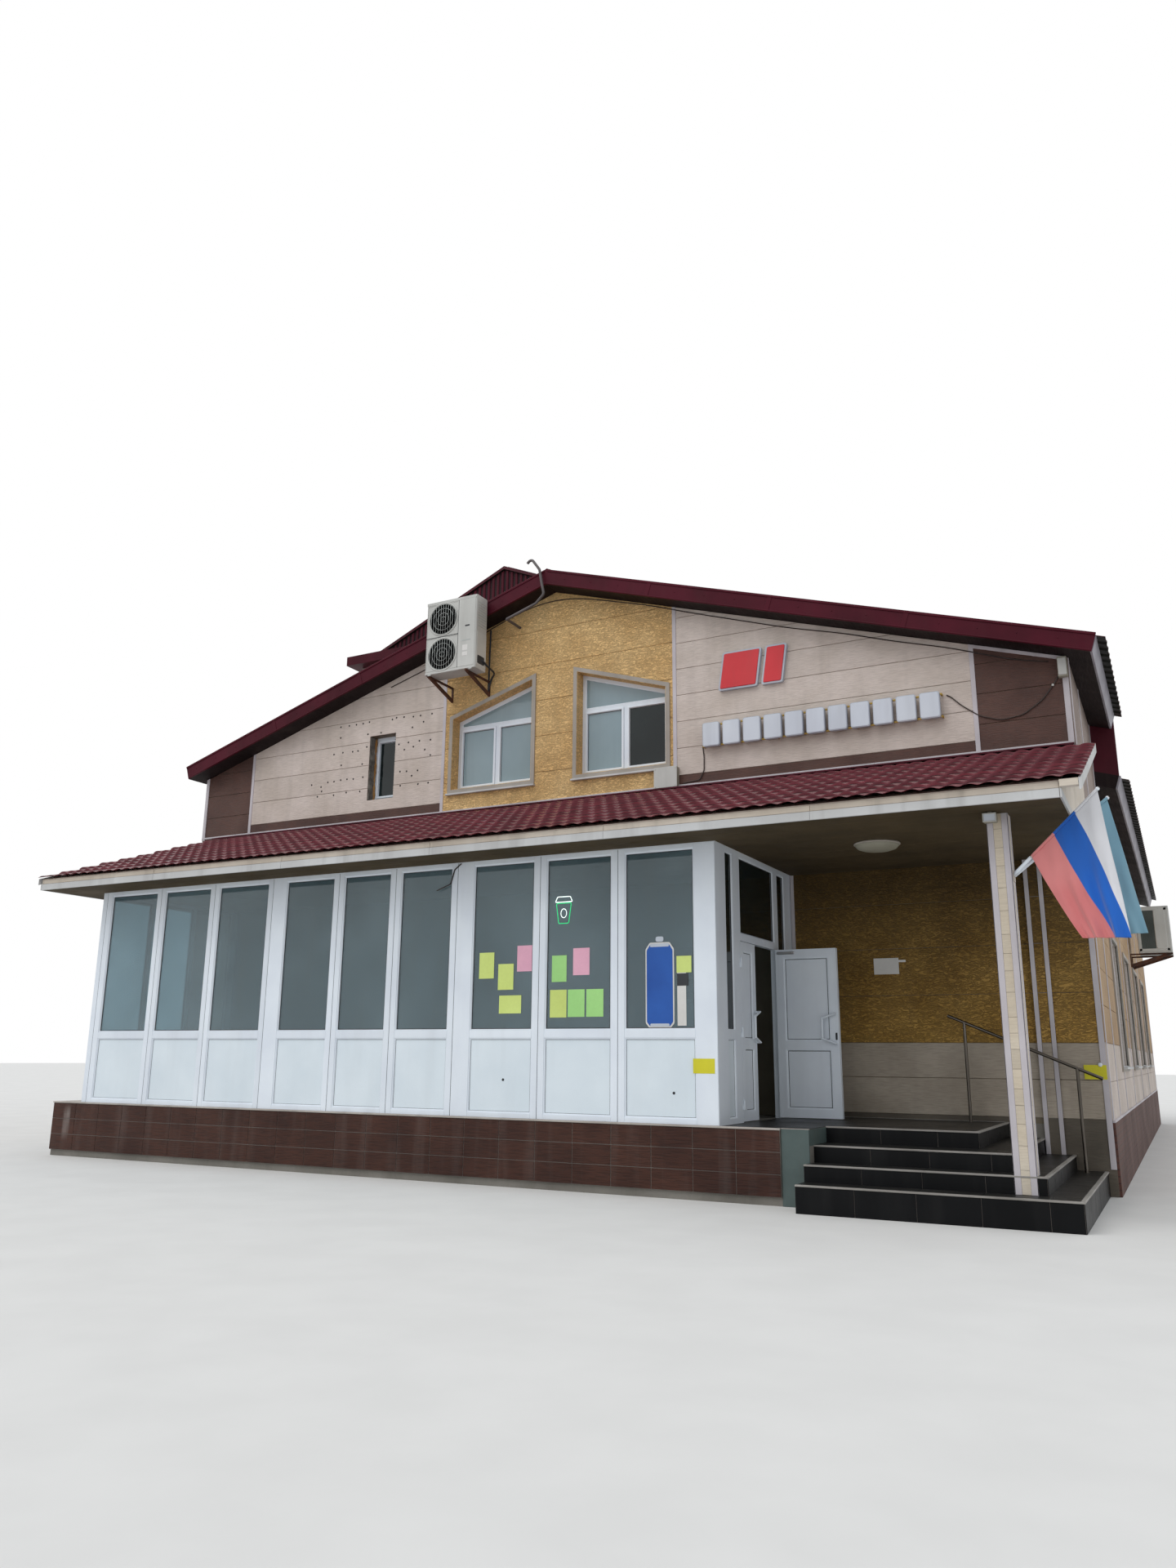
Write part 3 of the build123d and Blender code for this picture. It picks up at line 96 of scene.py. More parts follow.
def sideways(x: float, side: float = 1, y: float = 0) -> Face:
    """The face at x of a wall along Y, looking to +X, or to -X with side -1."""
    return Face((x, y, 0), along=(0, 1, 0), out=(side, 0, 0))


FRONT = Face((0, 0, 0))
REAR = Face((0, DEPTH, 0), out=(0, 1, 0))
RIGHT = sideways(HALF_WIDTH)
LEFT = sideways(-HALF_WIDTH, -1)
PORCH = Face((0, PORCH_Y, 0))
PORCH_LEFT = sideways(-6.545, -1)
ENTRANCE = sideways(3.784)
SOFFIT = Face((0, 0, PORCH_TOP), up=(0, 1, 0), out=(0, 0, -1))
RAISED_FRONT = Face((0, 4.3, 0))
RAISED_RIGHT = sideways(0.36)
PILASTER = Face((6.925, -0.045, 0))

HALF_WINDOW = 0.85
SIDE_WINDOWS = (3.85, 7.45, 11.05, 14.65)
REAR_WINDOWS = (-5.4, -1.8, 2.16, 5.76)
# Middle, sill and head of each window, by side.
WINDOWS = {face: [(a, 1.44, 3.28) for a in lower] + [(a, 5.65, 6.95) for a in upper]
           for face, lower, upper in ((RIGHT, SIDE_WINDOWS, ()), (LEFT, SIDE_WINDOWS, SIDE_WINDOWS[1:]),
                                      (REAR, REAR_WINDOWS, REAR_WINDOWS[:2]))}


def level(z: float) -> Face:
    """The upward face of a floor or tread at height z."""
    return Face((0, 0, z), up=(0, 1, 0), out=(0, 0, 1))


def rectangle(left: float, right: float, low: float, high: float, radius: float = 0.0) -> Array:
    """The corners of a rectangle on a face, rounded where it has a radius."""
    corners = np.array([(left, low), (right, low), (right, high), (left, high)], float)
    return rounded(corners, radius) if radius else corners


def rounded(outline: Array, radius: float, steps: int = 4) -> Array:
    """An outline with its corners rounded: each corner is a quadratic arc, (1-t)^2 A + 2t(1-t) C + t^2 B.

    Args:
        outline: Corners, in order.
        radius: How far from the corner C the arc's ends A and B lie.
        steps: Pieces in each arc.

    Returns:
        The rounded outline's points.
    """
    before = np.roll(outline, 1, 0) - outline
    after = np.roll(outline, -1, 0) - outline
    start = outline + radius * before / np.linalg.norm(before, axis=1, keepdims=True)
    end = outline + radius * after / np.linalg.norm(after, axis=1, keepdims=True)
    t = np.linspace(0, 1, steps + 1)[None, :, None]
    arcs = (1 - t) ** 2 * start[:, None] + 2 * t * (1 - t) * outline[:, None] + t ** 2 * end[:, None]
    return arcs.reshape(-1, 2)


def mitred(outline: Array, inset: Array) -> Array:
    """Moves an outline's corners inwards along their mitres, (n1 + n2) / (1 + n1.n2) for the two edges' normals.

    Args:
        outline: Corners (n, 2), in order.
        inset: Distances (m,) to move by.

    Returns:
        Corners (n, m, 2).
    """
    edge = np.roll(outline, -1, 0) - outline
    edge = edge / np.linalg.norm(edge, axis=1, keepdims=True)
    turn = np.sign(np.sum(outline[:, 0] * np.roll(outline[:, 1], -1) - np.roll(outline[:, 0], -1) * outline[:, 1]))
    normal = turn * np.stack([-edge[:, 1], edge[:, 0]], 1)
    before = np.roll(normal, 1, 0)
    mitre = (normal + before) / (1 + np.sum(normal * before, 1, keepdims=True))
    return outline[:, None] + inset[None, :, None] * mitre[:, None]


class Shape:
    """Patches of one piece, gathered as arrays and joined into one mesh."""

    def __init__(self) -> None:
        """Starts with no patch."""
        self.points: list[Array] = []
        self.faces: list[Array] = []
        self.smooth: list[Array] = []
        self.tones: list[Array] = []
        self.maps: list[Array] = []
        self.count = 0
        self.random = np.random.default_rng(7)

    def add(self, points: Array, faces: Array, smooth: bool = False, closed: bool = True,
            uv: Array | None = None) -> None:
        """Adds a patch. A closed one is turned so that the sum of a.(b x c) over its faces is positive.

        Args:
            points: Corners (n, 3).
            faces: Four corner numbers a face (f, 4).
            smooth: Whether its faces are shaded smooth.
            closed: Whether it closes a volume.
            uv: Two map values a corner (n, 2).
        """
        points = points.reshape(-1, 3)
        if closed:
            a, b, c, d = (points[faces[:, i]] - points.mean(0) for i in range(4))
            if np.sum(a * np.cross(b, c)) + np.sum(a * np.cross(c, d)) < 0:
                faces = faces[:, ::-1]
        self.points.append(points)
        self.faces.append(faces + self.count)
        self.smooth.append(np.full(len(faces), smooth))
        self.tones.append(np.full(len(points), self.random.random()))
        self.maps.append(np.zeros((len(points), 2)) if uv is None else uv.reshape(-1, 2))
        self.count += len(points)

    def loft(self, rings: Array, loop: bool = False, smooth: bool = False) -> None:
        """A closed section carried along a path: ring i joins ring i + 1 corner by corner, with flat ends.

        Args:
            rings: Corners (n, m, 3) of n sections with m corners, m even.
            loop: Whether the last ring joins the first.
            smooth: Whether its faces are shaded smooth.
        """
        n, m = rings.shape[:2]
        i, j = np.meshgrid(np.arange(n if loop else n - 1), np.arange(m), indexing="ij")
        i2, j2 = (i + 1) % n, (j + 1) % m
        faces = [np.stack([i * m + j, i2 * m + j, i2 * m + j2, i * m + j2], -1).reshape(-1, 4)]
        if not loop:
            k = np.arange(m // 2 - 1)
            cap = np.stack([k, k + 1, m - 2 - k, m - 1 - k], 1)
            faces += [cap, cap[:, ::-1] + (n - 1) * m]
        self.add(rings, np.concatenate(faces), smooth)

    def grid(self, points: Array, smooth: bool = True, uv: Array | None = None) -> None:
        """An open surface over a grid of two parameters.

        Args:
            points: Corners (n, m, 3).
            smooth: Whether its faces are shaded smooth.
            uv: Two map values a corner (n, m, 2).
        """
        n, m = points.shape[:2]
        i, j = np.meshgrid(np.arange(n - 1), np.arange(m - 1), indexing="ij")
        faces = np.stack([i * m + j, (i + 1) * m + j, (i + 1) * m + j + 1, i * m + j + 1], -1)
        self.add(points, faces.reshape(-1, 4), smooth, False, uv)

    def board(self, face: Face, a: Sequence[float], low: Sequence[float] | float, high: Sequence[float] | float,
              thick: float, bevel: float = 0.003, base: float = 0.0, ends: tuple[bool, bool] = (True, True)) -> None:
        """A board with chamfered edges: a section of six corners carried along, low and high running straight.

        Args:
            face: The face it lies on.
            a: Where it starts and ends along the face.
            low: Its lower edge, at the two ends or all along.
            high: Its upper edge, at the two ends or all along.
            thick: How far it stands out.
            bevel: Size of the chamfer.
            base: Where its back lies, out of the face.
            ends: Which of its two ends are chamfered too.
        """
        low, high = np.broadcast_to(low, 2), np.broadcast_to(high, 2)
        knots = np.array([a[0], *([a[0] + bevel] if ends[0] else []), *([a[1] - bevel] if ends[1] else []), a[1]])
        t = (knots - a[0]) / (a[1] - a[0])
        lo, hi = low[0] + (low[1] - low[0]) * t, high[0] + (high[1] - high[0]) * t
        edge = np.clip(np.minimum(bevel, 0.45 * (hi - lo)), 0, None)
        drop = np.zeros(len(knots))
        drop[0], drop[-1] = bevel * ends[0], bevel * ends[1]
        side, top = np.full(len(knots), base + thick - bevel), base + thick - drop
        o = np.stack([np.full(len(knots), base), side, top, top, side, np.full(len(knots), base)], 1)
        u = np.stack([lo, lo, lo + edge, hi - edge, hi, hi], 1)
        self.loft(face.place(knots[:, None], u, o))

    def ring(self, face: Face, outline: Array, profile: Sequence[tuple[float, float]]) -> None:
        """A closed profile carried round an outline with mitred corners.

        Args:
            face: The face it lies on.
            outline: Corners (n, 2).
            profile: Pairs of inset from the outline and distance out of the face.
        """
        inset, out = np.array(profile, float).T
        corners = mitred(outline, inset)
        self.loft(face.place(corners[..., 0], corners[..., 1], out[None, :]), loop=True)

    def plaque(self, face: Face, outline: Array, thick: float, bevel: float = 0.004, base: float = 0.0) -> None:
        """A flat plate with a chamfered rim: outlines stacked outwards, the last one inset by the chamfer.

        Args:
            face: The face it lies on.
            outline: Corners of its outline.
            thick: Its thickness.
            bevel: Size of its chamfer.
            base: Where its back lies, out of the face.
        """
        corners = mitred(outline, np.array([0, 0, bevel])).transpose(1, 0, 2)
        out = np.array([base, base + thick - bevel, base + thick])[:, None]
        self.loft(face.place(corners[..., 0], corners[..., 1], out))

    def tube(self, path: Array, radius: Array | float, sides: int = 8, loop: bool = False,
             reference: Point = (0.0, 0.0, 1.0)) -> None:
        """A round tube: at each point p of the path, p + r (cos(k) n + sin(k) b) with n and b square to the path.

        Args:
            path: Points (n, 3).
            radius: Its radius, or one a point.
            sides: Corners of its section.
            loop: Whether it closes on itself.
            reference: A direction that the path never takes.
        """
        path = np.asarray(path, float)
        run = np.roll(path, -1, 0) - np.roll(path, 1, 0) if loop else np.gradient(path, axis=0)
        normal = np.cross(run, np.array(reference))
        normal /= np.linalg.norm(normal, axis=1, keepdims=True)
        binormal = np.cross(run, normal)
        binormal /= np.linalg.norm(binormal, axis=1, keepdims=True)
        k = np.linspace(0, 2 * np.pi, sides, endpoint=False)[None, :, None]
        r = np.broadcast_to(radius, len(path))[:, None, None]
        rings = path[:, None] + r * (np.cos(k) * normal[:, None] + np.sin(k) * binormal[:, None])
        self.loft(rings, loop, True)

    def turned(self, face: Face, centre: tuple[float, float], profile: Sequence[tuple[float, float]],
               sides: int = 24) -> None:
        """A turned piece about the face's outward axis: each (radius, out) of the profile sweeps a circle.

        Args:
            face: The face that it stands on.
            centre: Its axis, along and up the face.
            profile: Pairs of radius and distance out.
            sides: Corners of each circle.
        """
        radius, out = np.array(profile, float).T
        k = np.linspace(0, 2 * np.pi, sides, endpoint=False)[None]
        a, u = centre[0] + radius[:, None] * np.cos(k), centre[1] + radius[:, None] * np.sin(k)
        self.loft(face.place(a, u, out[:, None]), smooth=True)

    def build(self, name: str, finish: "Finish", slot: str = "", body: str = BUILDING,
              sheet: float = 0.0) -> bpy.types.Object:
        """Joins the patches into one object at the origin, with its finish, and lets it ride on a body.

        Args:
            name: The piece's name.
            finish: What it is finished in.
            slot: Not used.
            body: The body that it rides on.
            sheet: Thickness given to an open surface, inwards.

        Returns:
            The object.
        """
        mesh = bpy.data.meshes.new(name)
        faces = np.concatenate(self.faces)
        mesh.from_pydata(np.concatenate(self.points), [], faces.tolist())
        mesh.polygons.foreach_set("use_smooth", np.concatenate(self.smooth))
        mesh.attributes.new("tone", "FLOAT", "POINT").data.foreach_set("value", np.concatenate(self.tones))
        corner = mesh.uv_layers.new(name="UVMap")
        corner.data.foreach_set("uv", np.concatenate(self.maps)[faces.ravel()].ravel())
        mesh.materials.append(finish.material())
        mesh.update()
        made = bpy.data.objects.new(name, mesh)
        bpy.context.scene.collection.objects.link(made)
        if sheet:
            shell = made.modifiers.new("sheet", "SOLIDIFY")
            shell.thickness, shell.offset = sheet, -1.0
        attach(made, body)
        LOG.info("%s: %d faces", name, len(faces))
        return made


def shapes(count: int) -> list[Shape]:
    """That many empty shapes."""
    return [Shape() for _ in range(count)]


def build_all(slot: str, *pieces: tuple[Shape, str, "Finish"]) -> None:
    """Builds pieces, each given as its shape, name and finish; the slot is passed on but not used."""
    for shape, name, finish in pieces:
        shape.build(name, finish, slot)


class Grain(Enum):
    """Kinds of fine relief that a finish can have."""

    PLAIN = "plain"
    DASH = "dash"
    BARK = "bark"
    WEAVE = "weave"
    BRICK = "brick"


class Graph:
    """The node tree of a material or of the world, with short calls for the nodes in use."""

    def __init__(self, owner: bpy.types.ID) -> None:
        """Takes up the owner's tree."""
        owner.use_nodes = True
        self.tree = owner.node_tree

    @cached_property
    def place(self) -> bpy.types.NodeSocket:
        """The object's own coordinates."""
        return self.node("ShaderNodeTexCoord").outputs["Object"]

    def node(self, kind: str, inputs: dict | None = None, **settings: object) -> bpy.types.Node:
        """Adds a node; inputs that are sockets are linked, and the others are set.

        Args:
            kind: The node's type.
            inputs: Socket name or number to socket or value.
            settings: Properties of the node.

        Returns:
            The node.
        """
        made = self.tree.nodes.new(kind)
        for key, value in settings.items():
            setattr(made, key, value)
        for key, value in (inputs or {}).items():
            if isinstance(value, bpy.types.NodeSocket):
                self.tree.links.new(value, made.inputs[key])
            else:
                made.inputs[key].default_value = value
        return made

    def scaled(self, scale: Point | float) -> bpy.types.NodeSocket:
        """The object's own place, times scale."""
        scale = scale if isinstance(scale, tuple) else (scale,) * 3
        return self.node("ShaderNodeMapping", {"Vector": self.place, "Scale": scale}).outputs[0]

    def noise(self, scale: Point | float, detail: float = 3.0, distortion: float = 0.0) -> bpy.types.NodeSocket:
        """Noise from 0 to 1 with so many repeats a metre along each axis."""
        inputs = {"Vector": self.scaled(scale), "Scale": 1.0, "Detail": detail, "Distortion": distortion}
        return self.node("ShaderNodeTexNoise", inputs).outputs[0]

    def calc(self, operation: str, a: object, b: object = 0.0) -> bpy.types.NodeSocket:
        """One step of arithmetic."""
        return self.node("ShaderNodeMath", {0: a, 1: b}, operation=operation).outputs[0]

    def span(self, value: object, low: float, high: float, start: float = 0.0, end: float = 1.0) -> object:
        """Value from low..high, clamped, mapped to start..end."""
        return self.node("ShaderNodeMapRange", {0: value, 1: low, 2: high, 3: start, 4: end}).outputs[0]

    def parts(self, vector: object) -> bpy.types.bpy_prop_collection:
        """A vector's x, y and z."""
        return self.node("ShaderNodeSeparateXYZ", {0: vector}).outputs

    def mix(self, amount: object, a: object, b: object) -> bpy.types.NodeSocket:
        """Colour a where amount is 0 and b where it is 1."""
        return self.node("ShaderNodeMix", {0: amount, 6: a, 7: b}, data_type="RGBA").outputs[2]

    def darker(self, colour: object, amount: object) -> bpy.types.NodeSocket:
        """Colour times amount."""
        return self.node("ShaderNodeVectorMath", {0: colour, "Scale": amount}, operation="SCALE").outputs[0]


def linear(colour: Colour) -> tuple[float, float, float, float]:
    """A display colour from 0 to 255 as the shader's linear colour."""
    c = np.array(colour) / 255
    return (*np.where(c <= 0.04045, c / 12.92, ((c + 0.055) / 1.055) ** 2.4).tolist(), 1.0)


@dataclass(frozen=True)
class Finish:
    """A finish: two colours that drift into each other, a grain in relief, streaks, dust and gloss."""

    name: str
    colour: Colour
    shade: Colour
    grain: Grain = Grain.PLAIN
    repeats: Point | float = 20.0
    depth: float = 0.0006
    contrast: float = 0.1
    rough: tuple[float, float] = (0.5, 0.65)
    metallic: float = 0.0
    streaks: float = 0.15
    streak_colour: Colour = (88, 80, 72)
    dust: float = 0.0
    dust_colour: Colour = (140, 132, 122)
    tone: float = 0.05
    patch: float = 1.4
    sheen: float = 0.0
    transmission: float = 0.0
    ior: float = 1.45
    glow: float = 0.0
    # Bands along the map's first value: printed stripes on the flags, and on the wave tiles a painted shadow line at
    # the foot of each course.
    stripes: tuple[tuple[float, Colour], ...] = ()
    # Low height, high height and the share by which the colour darkens between them: painted shade.
    fade: tuple[float, float, float] = (0.0, 0.0, 0.0)
    # Colour given to faces that point down: painted shade on undersides.
    under: Colour | None = None
    stain: tuple[float, float, float] = (0.0, 0.0, 0.0)

    def relief(self, graph: Graph) -> bpy.types.NodeSocket:
        """The grain as a height from 0 to 1.

        Args:
            graph: The material's tree.

        Returns:
            The socket that carries the height.
        """
        if self.grain is Grain.DASH:
            return graph.span(graph.noise(self.repeats, 4.0, 0.3), 0.38, 0.56)
        if self.grain is Grain.BARK:
            ridge = graph.calc("ABSOLUTE", graph.calc("SUBTRACT", graph.noise(self.repeats, 3.0, 1.6), 0.5))
            return graph.span(ridge, 0.0, 0.10)
        if self.grain is Grain.WEAVE:
            parts = graph.parts(graph.scaled(self.repeats))
            across = graph.calc("SINE", graph.calc("ADD", parts[0], parts[1]))
            return graph.span(graph.calc("MULTIPLY", across, graph.calc("SINE", parts[2])), -1.0, 1.0)
        if self.grain is Grain.BRICK:
            parts = graph.parts(graph.place)
            flat = graph.node("ShaderNodeCombineXYZ", {0: graph.calc("ADD", parts[0], parts[1]), 1: parts[2]})
            brick = {"Vector": flat.outputs[0], "Scale": 1.0, "Mortar Size": 0.008, "Mortar Smooth": 0.2,
                     "Brick Width": self.repeats[0], "Row Height": self.repeats[2]}
            return graph.span(graph.node("ShaderNodeTexBrick", brick).outputs["Fac"], 0.0, 1.0, 1.0, 0.0)
        return graph.noise(self.repeats, 2.0)

    def material(self) -> bpy.types.Material:
        """The finish as a material, made once and then shared."""
        if self.name in bpy.data.materials:
            return bpy.data.materials[self.name]
        made = bpy.data.materials.new(self.name)
        graph = Graph(made)
        drift = graph.span(graph.noise(self.patch, 4.0), 0.35, 0.65)
        colour = graph.mix(drift, linear(self.colour), linear(self.shade))
        # Printed stripes, and the wave tiles' painted shadow lines.
        if self.stripes:
            across = graph.parts(graph.node("ShaderNodeUVMap").outputs[0])[0]
            for edge, stripe in self.stripes:
                there = graph.span(across, edge - 0.004, edge + 0.004)
                tinted = graph.darker(linear(stripe)[:3], graph.span(drift, 0, 1, 0.92, 1.06))
                colour = graph.mix(there, colour, tinted)
        height = self.relief(graph)
        colour = graph.darker(colour, graph.span(height, 0, 1, 1 - self.contrast, 1.0))
        if self.tone:
            piece = graph.node("ShaderNodeAttribute", attribute_name="tone").outputs["Fac"]
            colour = graph.darker(colour, graph.span(piece, 0, 1, 1 - self.tone, 1 + self.tone / 2))
        parts = graph.parts(graph.place)
        if self.streaks:
            run = graph.span(graph.noise((5.0, 5.0, 0.5), 5.0), 0.5, 0.8, 0.0, self.streaks)
            if self.stain[2]:
                away = [graph.calc("ABSOLUTE", graph.calc("SUBTRACT", parts[i], self.stain[i // 2])) for i in (0, 2)]
                near = graph.calc("MAXIMUM", *away)
                run = graph.calc("MULTIPLY", run, graph.span(near, self.stain[2] / 2, self.stain[2], 1.0, 0.1))
            colour = graph.mix(run, colour, linear(self.streak_colour))
        # Darker towards the upper height: painted shade, as under the canopy.
        if self.fade[2]:
            colour = graph.darker(colour, graph.span(parts[2], *self.fade[:2], 1.0, 1.0 - self.fade[2]))
        up = graph.parts(graph.node("ShaderNodeNewGeometry").outputs["Normal"])[2]
        if self.dust:
            lies = graph.calc("MULTIPLY", graph.span(up, 0.5, 0.95), graph.span(drift, 0, 1, 0.45, 1.0))
            colour = graph.mix(graph.calc("MULTIPLY", lies, self.dust), colour, linear(self.dust_colour))
        # Faces that point down take the under colour: painted shade.
        if self.under:
            colour = graph.mix(graph.span(up, -0.5, -0.3, 1.0, 0.0), colour, linear(self.under))
        links, shader = graph.tree.links, graph.tree.nodes["Principled BSDF"]
        links.new(colour, shader.inputs["Base Color"])
        links.new(graph.span(graph.calc("ADD", drift, height), 0, 2, *self.rough), shader.inputs["Roughness"])
        if self.depth:
            bump = graph.node("ShaderNodeBump", {"Height": height, "Distance": self.depth, "Strength": 0.9})
            links.new(bump.outputs[0], shader.inputs["Normal"])
        for socket, value in (("Metallic", self.metallic), ("IOR", self.ior),
                              ("Sheen Weight", self.sheen), ("Transmission Weight", self.transmission)):
            shader.inputs[socket].default_value = value
        if self.glow:
            shader.inputs["Emission Color"].default_value = linear(self.colour)
            shader.inputs["Emission Strength"].default_value = self.glow
        return made


def plain(name: str, colour: Colour, shade: Colour, repeats: Point | float = 20.0, contrast: float = 0.1,
          streaks: float = 0.15, **more: object) -> Finish:
    """A finish without grain."""
    return Finish(name, colour, shade, repeats=repeats, contrast=contrast, streaks=streaks, **more)


def board_finish(name: str, colour: Colour, shade: Colour, contrast: float, **more: object) -> Finish:
    """A painted cladding board, with fine dashes along it."""
    return Finish(name, colour, shade, Grain.DASH, (7.0, 7.0, 95.0), 0.0016, contrast, (0.6, 0.75), **more)


# Repeats a metre of the bark boards' relief, of the flags' weave and of brushed metal.
BARK, CLOTH, BRUSHED = (11.0, 11.0, 34.0), 900.0, (6.0, 300.0, 300.0)

BEIGE = board_finish("beige_board", (216, 203, 194), (200, 187, 176), 0.13)
# Boards of the porch wall under the canopy: darker copies of the beige and ochre boards, darker still towards the
# soffit, standing in for the canopy's shade. Painted shade.
SHADED_BEIGE = board_finish("shaded_beige_board", (182, 170, 154), (164, 152, 136), 0.15, fade=(1.2, 4.2, 0.3))
OCHRE = Finish("ochre_bark_board", (246, 207, 144), (226, 184, 122), Grain.BARK, BARK, 0.006, 0.4, (0.6, 0.8),
               tone=0.03)
SHADED_OCHRE = Finish("shaded_ochre_board", (196, 154, 78), (170, 130, 60), Grain.BARK, BARK, 0.007, 0.5,
                      (0.6, 0.8), tone=0.03, fade=(1.9, 3.7, 0.72))
TAN = board_finish("tan_board", (182, 150, 110), (162, 132, 96), 0.15)
BROWN = Finish("brown_board", (88, 57, 47), (72, 46, 39), Grain.DASH, (7.0, 7.0, 95.0), 0.0018, 0.25, (0.5, 0.7))
SIDING = board_finish("side_siding", (158, 142, 134), (140, 124, 116), 0.14)
FOOT = Finish("foot_strip", (100, 92, 80), (84, 77, 67), Grain.DASH, (7.0, 7.0, 40.0), 0.001, 0.15, (0.6, 0.8))
BACKING = plain("inner_render", (126, 114, 94), (108, 97, 80), 30.0)
BRICK = Finish("brick_base", (90, 56, 47), (72, 44, 38), Grain.BRICK, (0.25, 1.0, 0.075), 0.006, 0.45, (0.6, 0.8),
               streaks=0.18, streak_colour=(150, 138, 128))
TRIM = plain("white_trim", (204, 198, 202), (186, 180, 184), 60.0, 0.05, 0.3)
CASING = plain("window_casing", (176, 168, 158), (160, 152, 142), 60.0, 0.1, 0.2)
BURGUNDY = plain("burgundy_metal", (82, 20, 36), (66, 15, 28), 8.0, 0.1, 0.05, depth=0.0004, rough=(0.35, 0.5),
                 dust=0.3, ior=1.2)
# The sheeting's undersides are painted near black: painted shade.
SHEETING = plain("burgundy_sheeting", (84, 28, 40), (68, 23, 33), 5.0, 0.1, 0.06, depth=0.0004, rough=(0.35, 0.55),
                 dust=0.2, under=(34, 35, 31), ior=1.25)
# The dark stripe colour paints a shadow line at the foot of each tile course's riser: painted shadow.
WAVE_TILE = plain("wave_tile", (122, 46, 58), (100, 37, 48), 9.0, 0.1, 0.1, depth=0.0005, rough=(0.3, 0.5), dust=0.2,
                  patch=2.6, stripes=((0.9, (50, 20, 27)),))
VALLEY = plain("shaded_sheeting", (40, 15, 22), (30, 11, 17), 5.0, depth=0.0004, ior=1.25)
# Roof decks and verge soffit seen from below: dark timber, made darker still to the shade under the eaves. Partly
# painted shade.
TIMBER = Finish("shaded_dark_timber", (36, 23, 24), (27, 17, 18), Grain.DASH, (60.0, 3.0, 60.0), 0.001, 0.3, (0.6, 0.8),
                ior=1.3)
# A darker copy of the white edge for the eave fascias, which lie in the roof's shade: painted shade.
SHADED_EAVE = plain("shaded_eave_board", (160, 157, 166), (144, 141, 150), 50.0, 0.05, 0.3)
CREAM = Finish("cream_fascia", (214, 203, 188), (198, 186, 170), Grain.DASH, (4.0, 4.0, 60.0), 0.0006, 0.05,
               streaks=0.35)
EDGE = plain("white_edge", (204, 205, 205), (190, 190, 189), 50.0, 0.05, 0.3)
CEILING = Finish("soffit_board", (84, 71, 50), (71, 60, 42), Grain.DASH, (5.0, 70.0, 5.0), 0.001, 0.12, (0.7, 0.85),
                 ior=1.3)
PVC = plain("white_pvc", (233, 240, 247), (224, 231, 240), 90.0, 0.03, 0.1, depth=0.0002, rough=(0.28, 0.42),
            streak_colour=(150, 146, 140))
INFILL = plain("infill_panel", (230, 240, 246), (222, 233, 240), 50.0, 0.02, 0.08, depth=0.0002, rough=(0.25, 0.4),
               streak_colour=(160, 160, 160))
RUBBER = plain("black_gasket", (52, 54, 58), (40, 42, 46), 150.0, 0.1, 0.0)
# Porch glass: a blue-green tint, lightened so that its diffuse share stands in for the sky's reflection. Partly
# painted reflection.
GLASS = plain("tinted_pane_with_painted_reflection", (168, 196, 206), (142, 170, 180), 1.5, 0.12, 0.2, depth=0.0, rough=(0.02, 0.06),
              streak_colour=(150, 164, 162), tone=0.0, patch=0.6, transmission=0.78, ior=1.52)
# Window glass that lets little through, its pale blue standing in for the sky it reflects: painted reflection.
SKY_REFLECTION_PANE = plain("sky_reflection_pane", (168, 190, 198), (150, 174, 182), 1.5, 0.08, 0.08, depth=0.0, rough=(0.04, 0.08),
                 tone=0.0, patch=0.6, transmission=0.3, ior=1.52)
# Opaque near-black sheets laid on panes where the shaded inside shows through: painted shade.
PAINTED_SHADE_PANE = plain("painted_shade_pane", (26, 36, 37), (18, 26, 27), 2.0, 0.1, 0.0, depth=0.0, rough=(0.04, 0.08))
PLINTH = Finish("brown_tile", (74, 45, 35), (60, 36, 29), Grain.DASH, (6.0, 6.0, 75.0), 0.0018, 0.32, (0.45, 0.65),
                streaks=0.6, streak_colour=(190, 182, 176), tone=0.12, stain=(-6.75, 0.48, 0.26), ior=1.3)
LEDGE = plain("pale_ledge", (188, 182, 174), (164, 156, 148), 40.0, 0.1, 0.4)
BLOCK = plain("painted_block", (86, 101, 99), (72, 86, 84), 14.0, 0.15, 0.35, depth=0.002)
CONCRETE = plain("cast_concrete", (142, 138, 130), (122, 118, 110), 25.0, 0.2, 0.3, depth=0.0015, rough=(0.75, 0.9))
STEP_TILE = plain("black_tile", (17, 18, 20), (12, 13, 15), 18.0, 0.15, 0.08, depth=0.0004, rough=(0.3, 0.5),
                  dust=0.25, dust_colour=(80, 78, 74), streak_colour=(80, 78, 76), tone=0.15, ior=1.22)
NOSING = plain("worn_nosing", (164, 160, 154), (132, 128, 122), 40.0, 0.2)
GROUT = plain("grout", (138, 130, 122), (112, 105, 99), 60.0, 0.1, 0.3)
COLUMN_TILE = Finish("column_tile", (216, 205, 188), (198, 184, 162), Grain.DASH, (9.0, 9.0, 60.0), 0.0008, 0.08,
                     streaks=0.3, streak_colour=(150, 118, 76), tone=0.12)
STEEL = plain("brushed_steel", (178, 176, 174), (160, 158, 156), BRUSHED, depth=0.0001,
              rough=(0.22, 0.36), metallic=1.0)
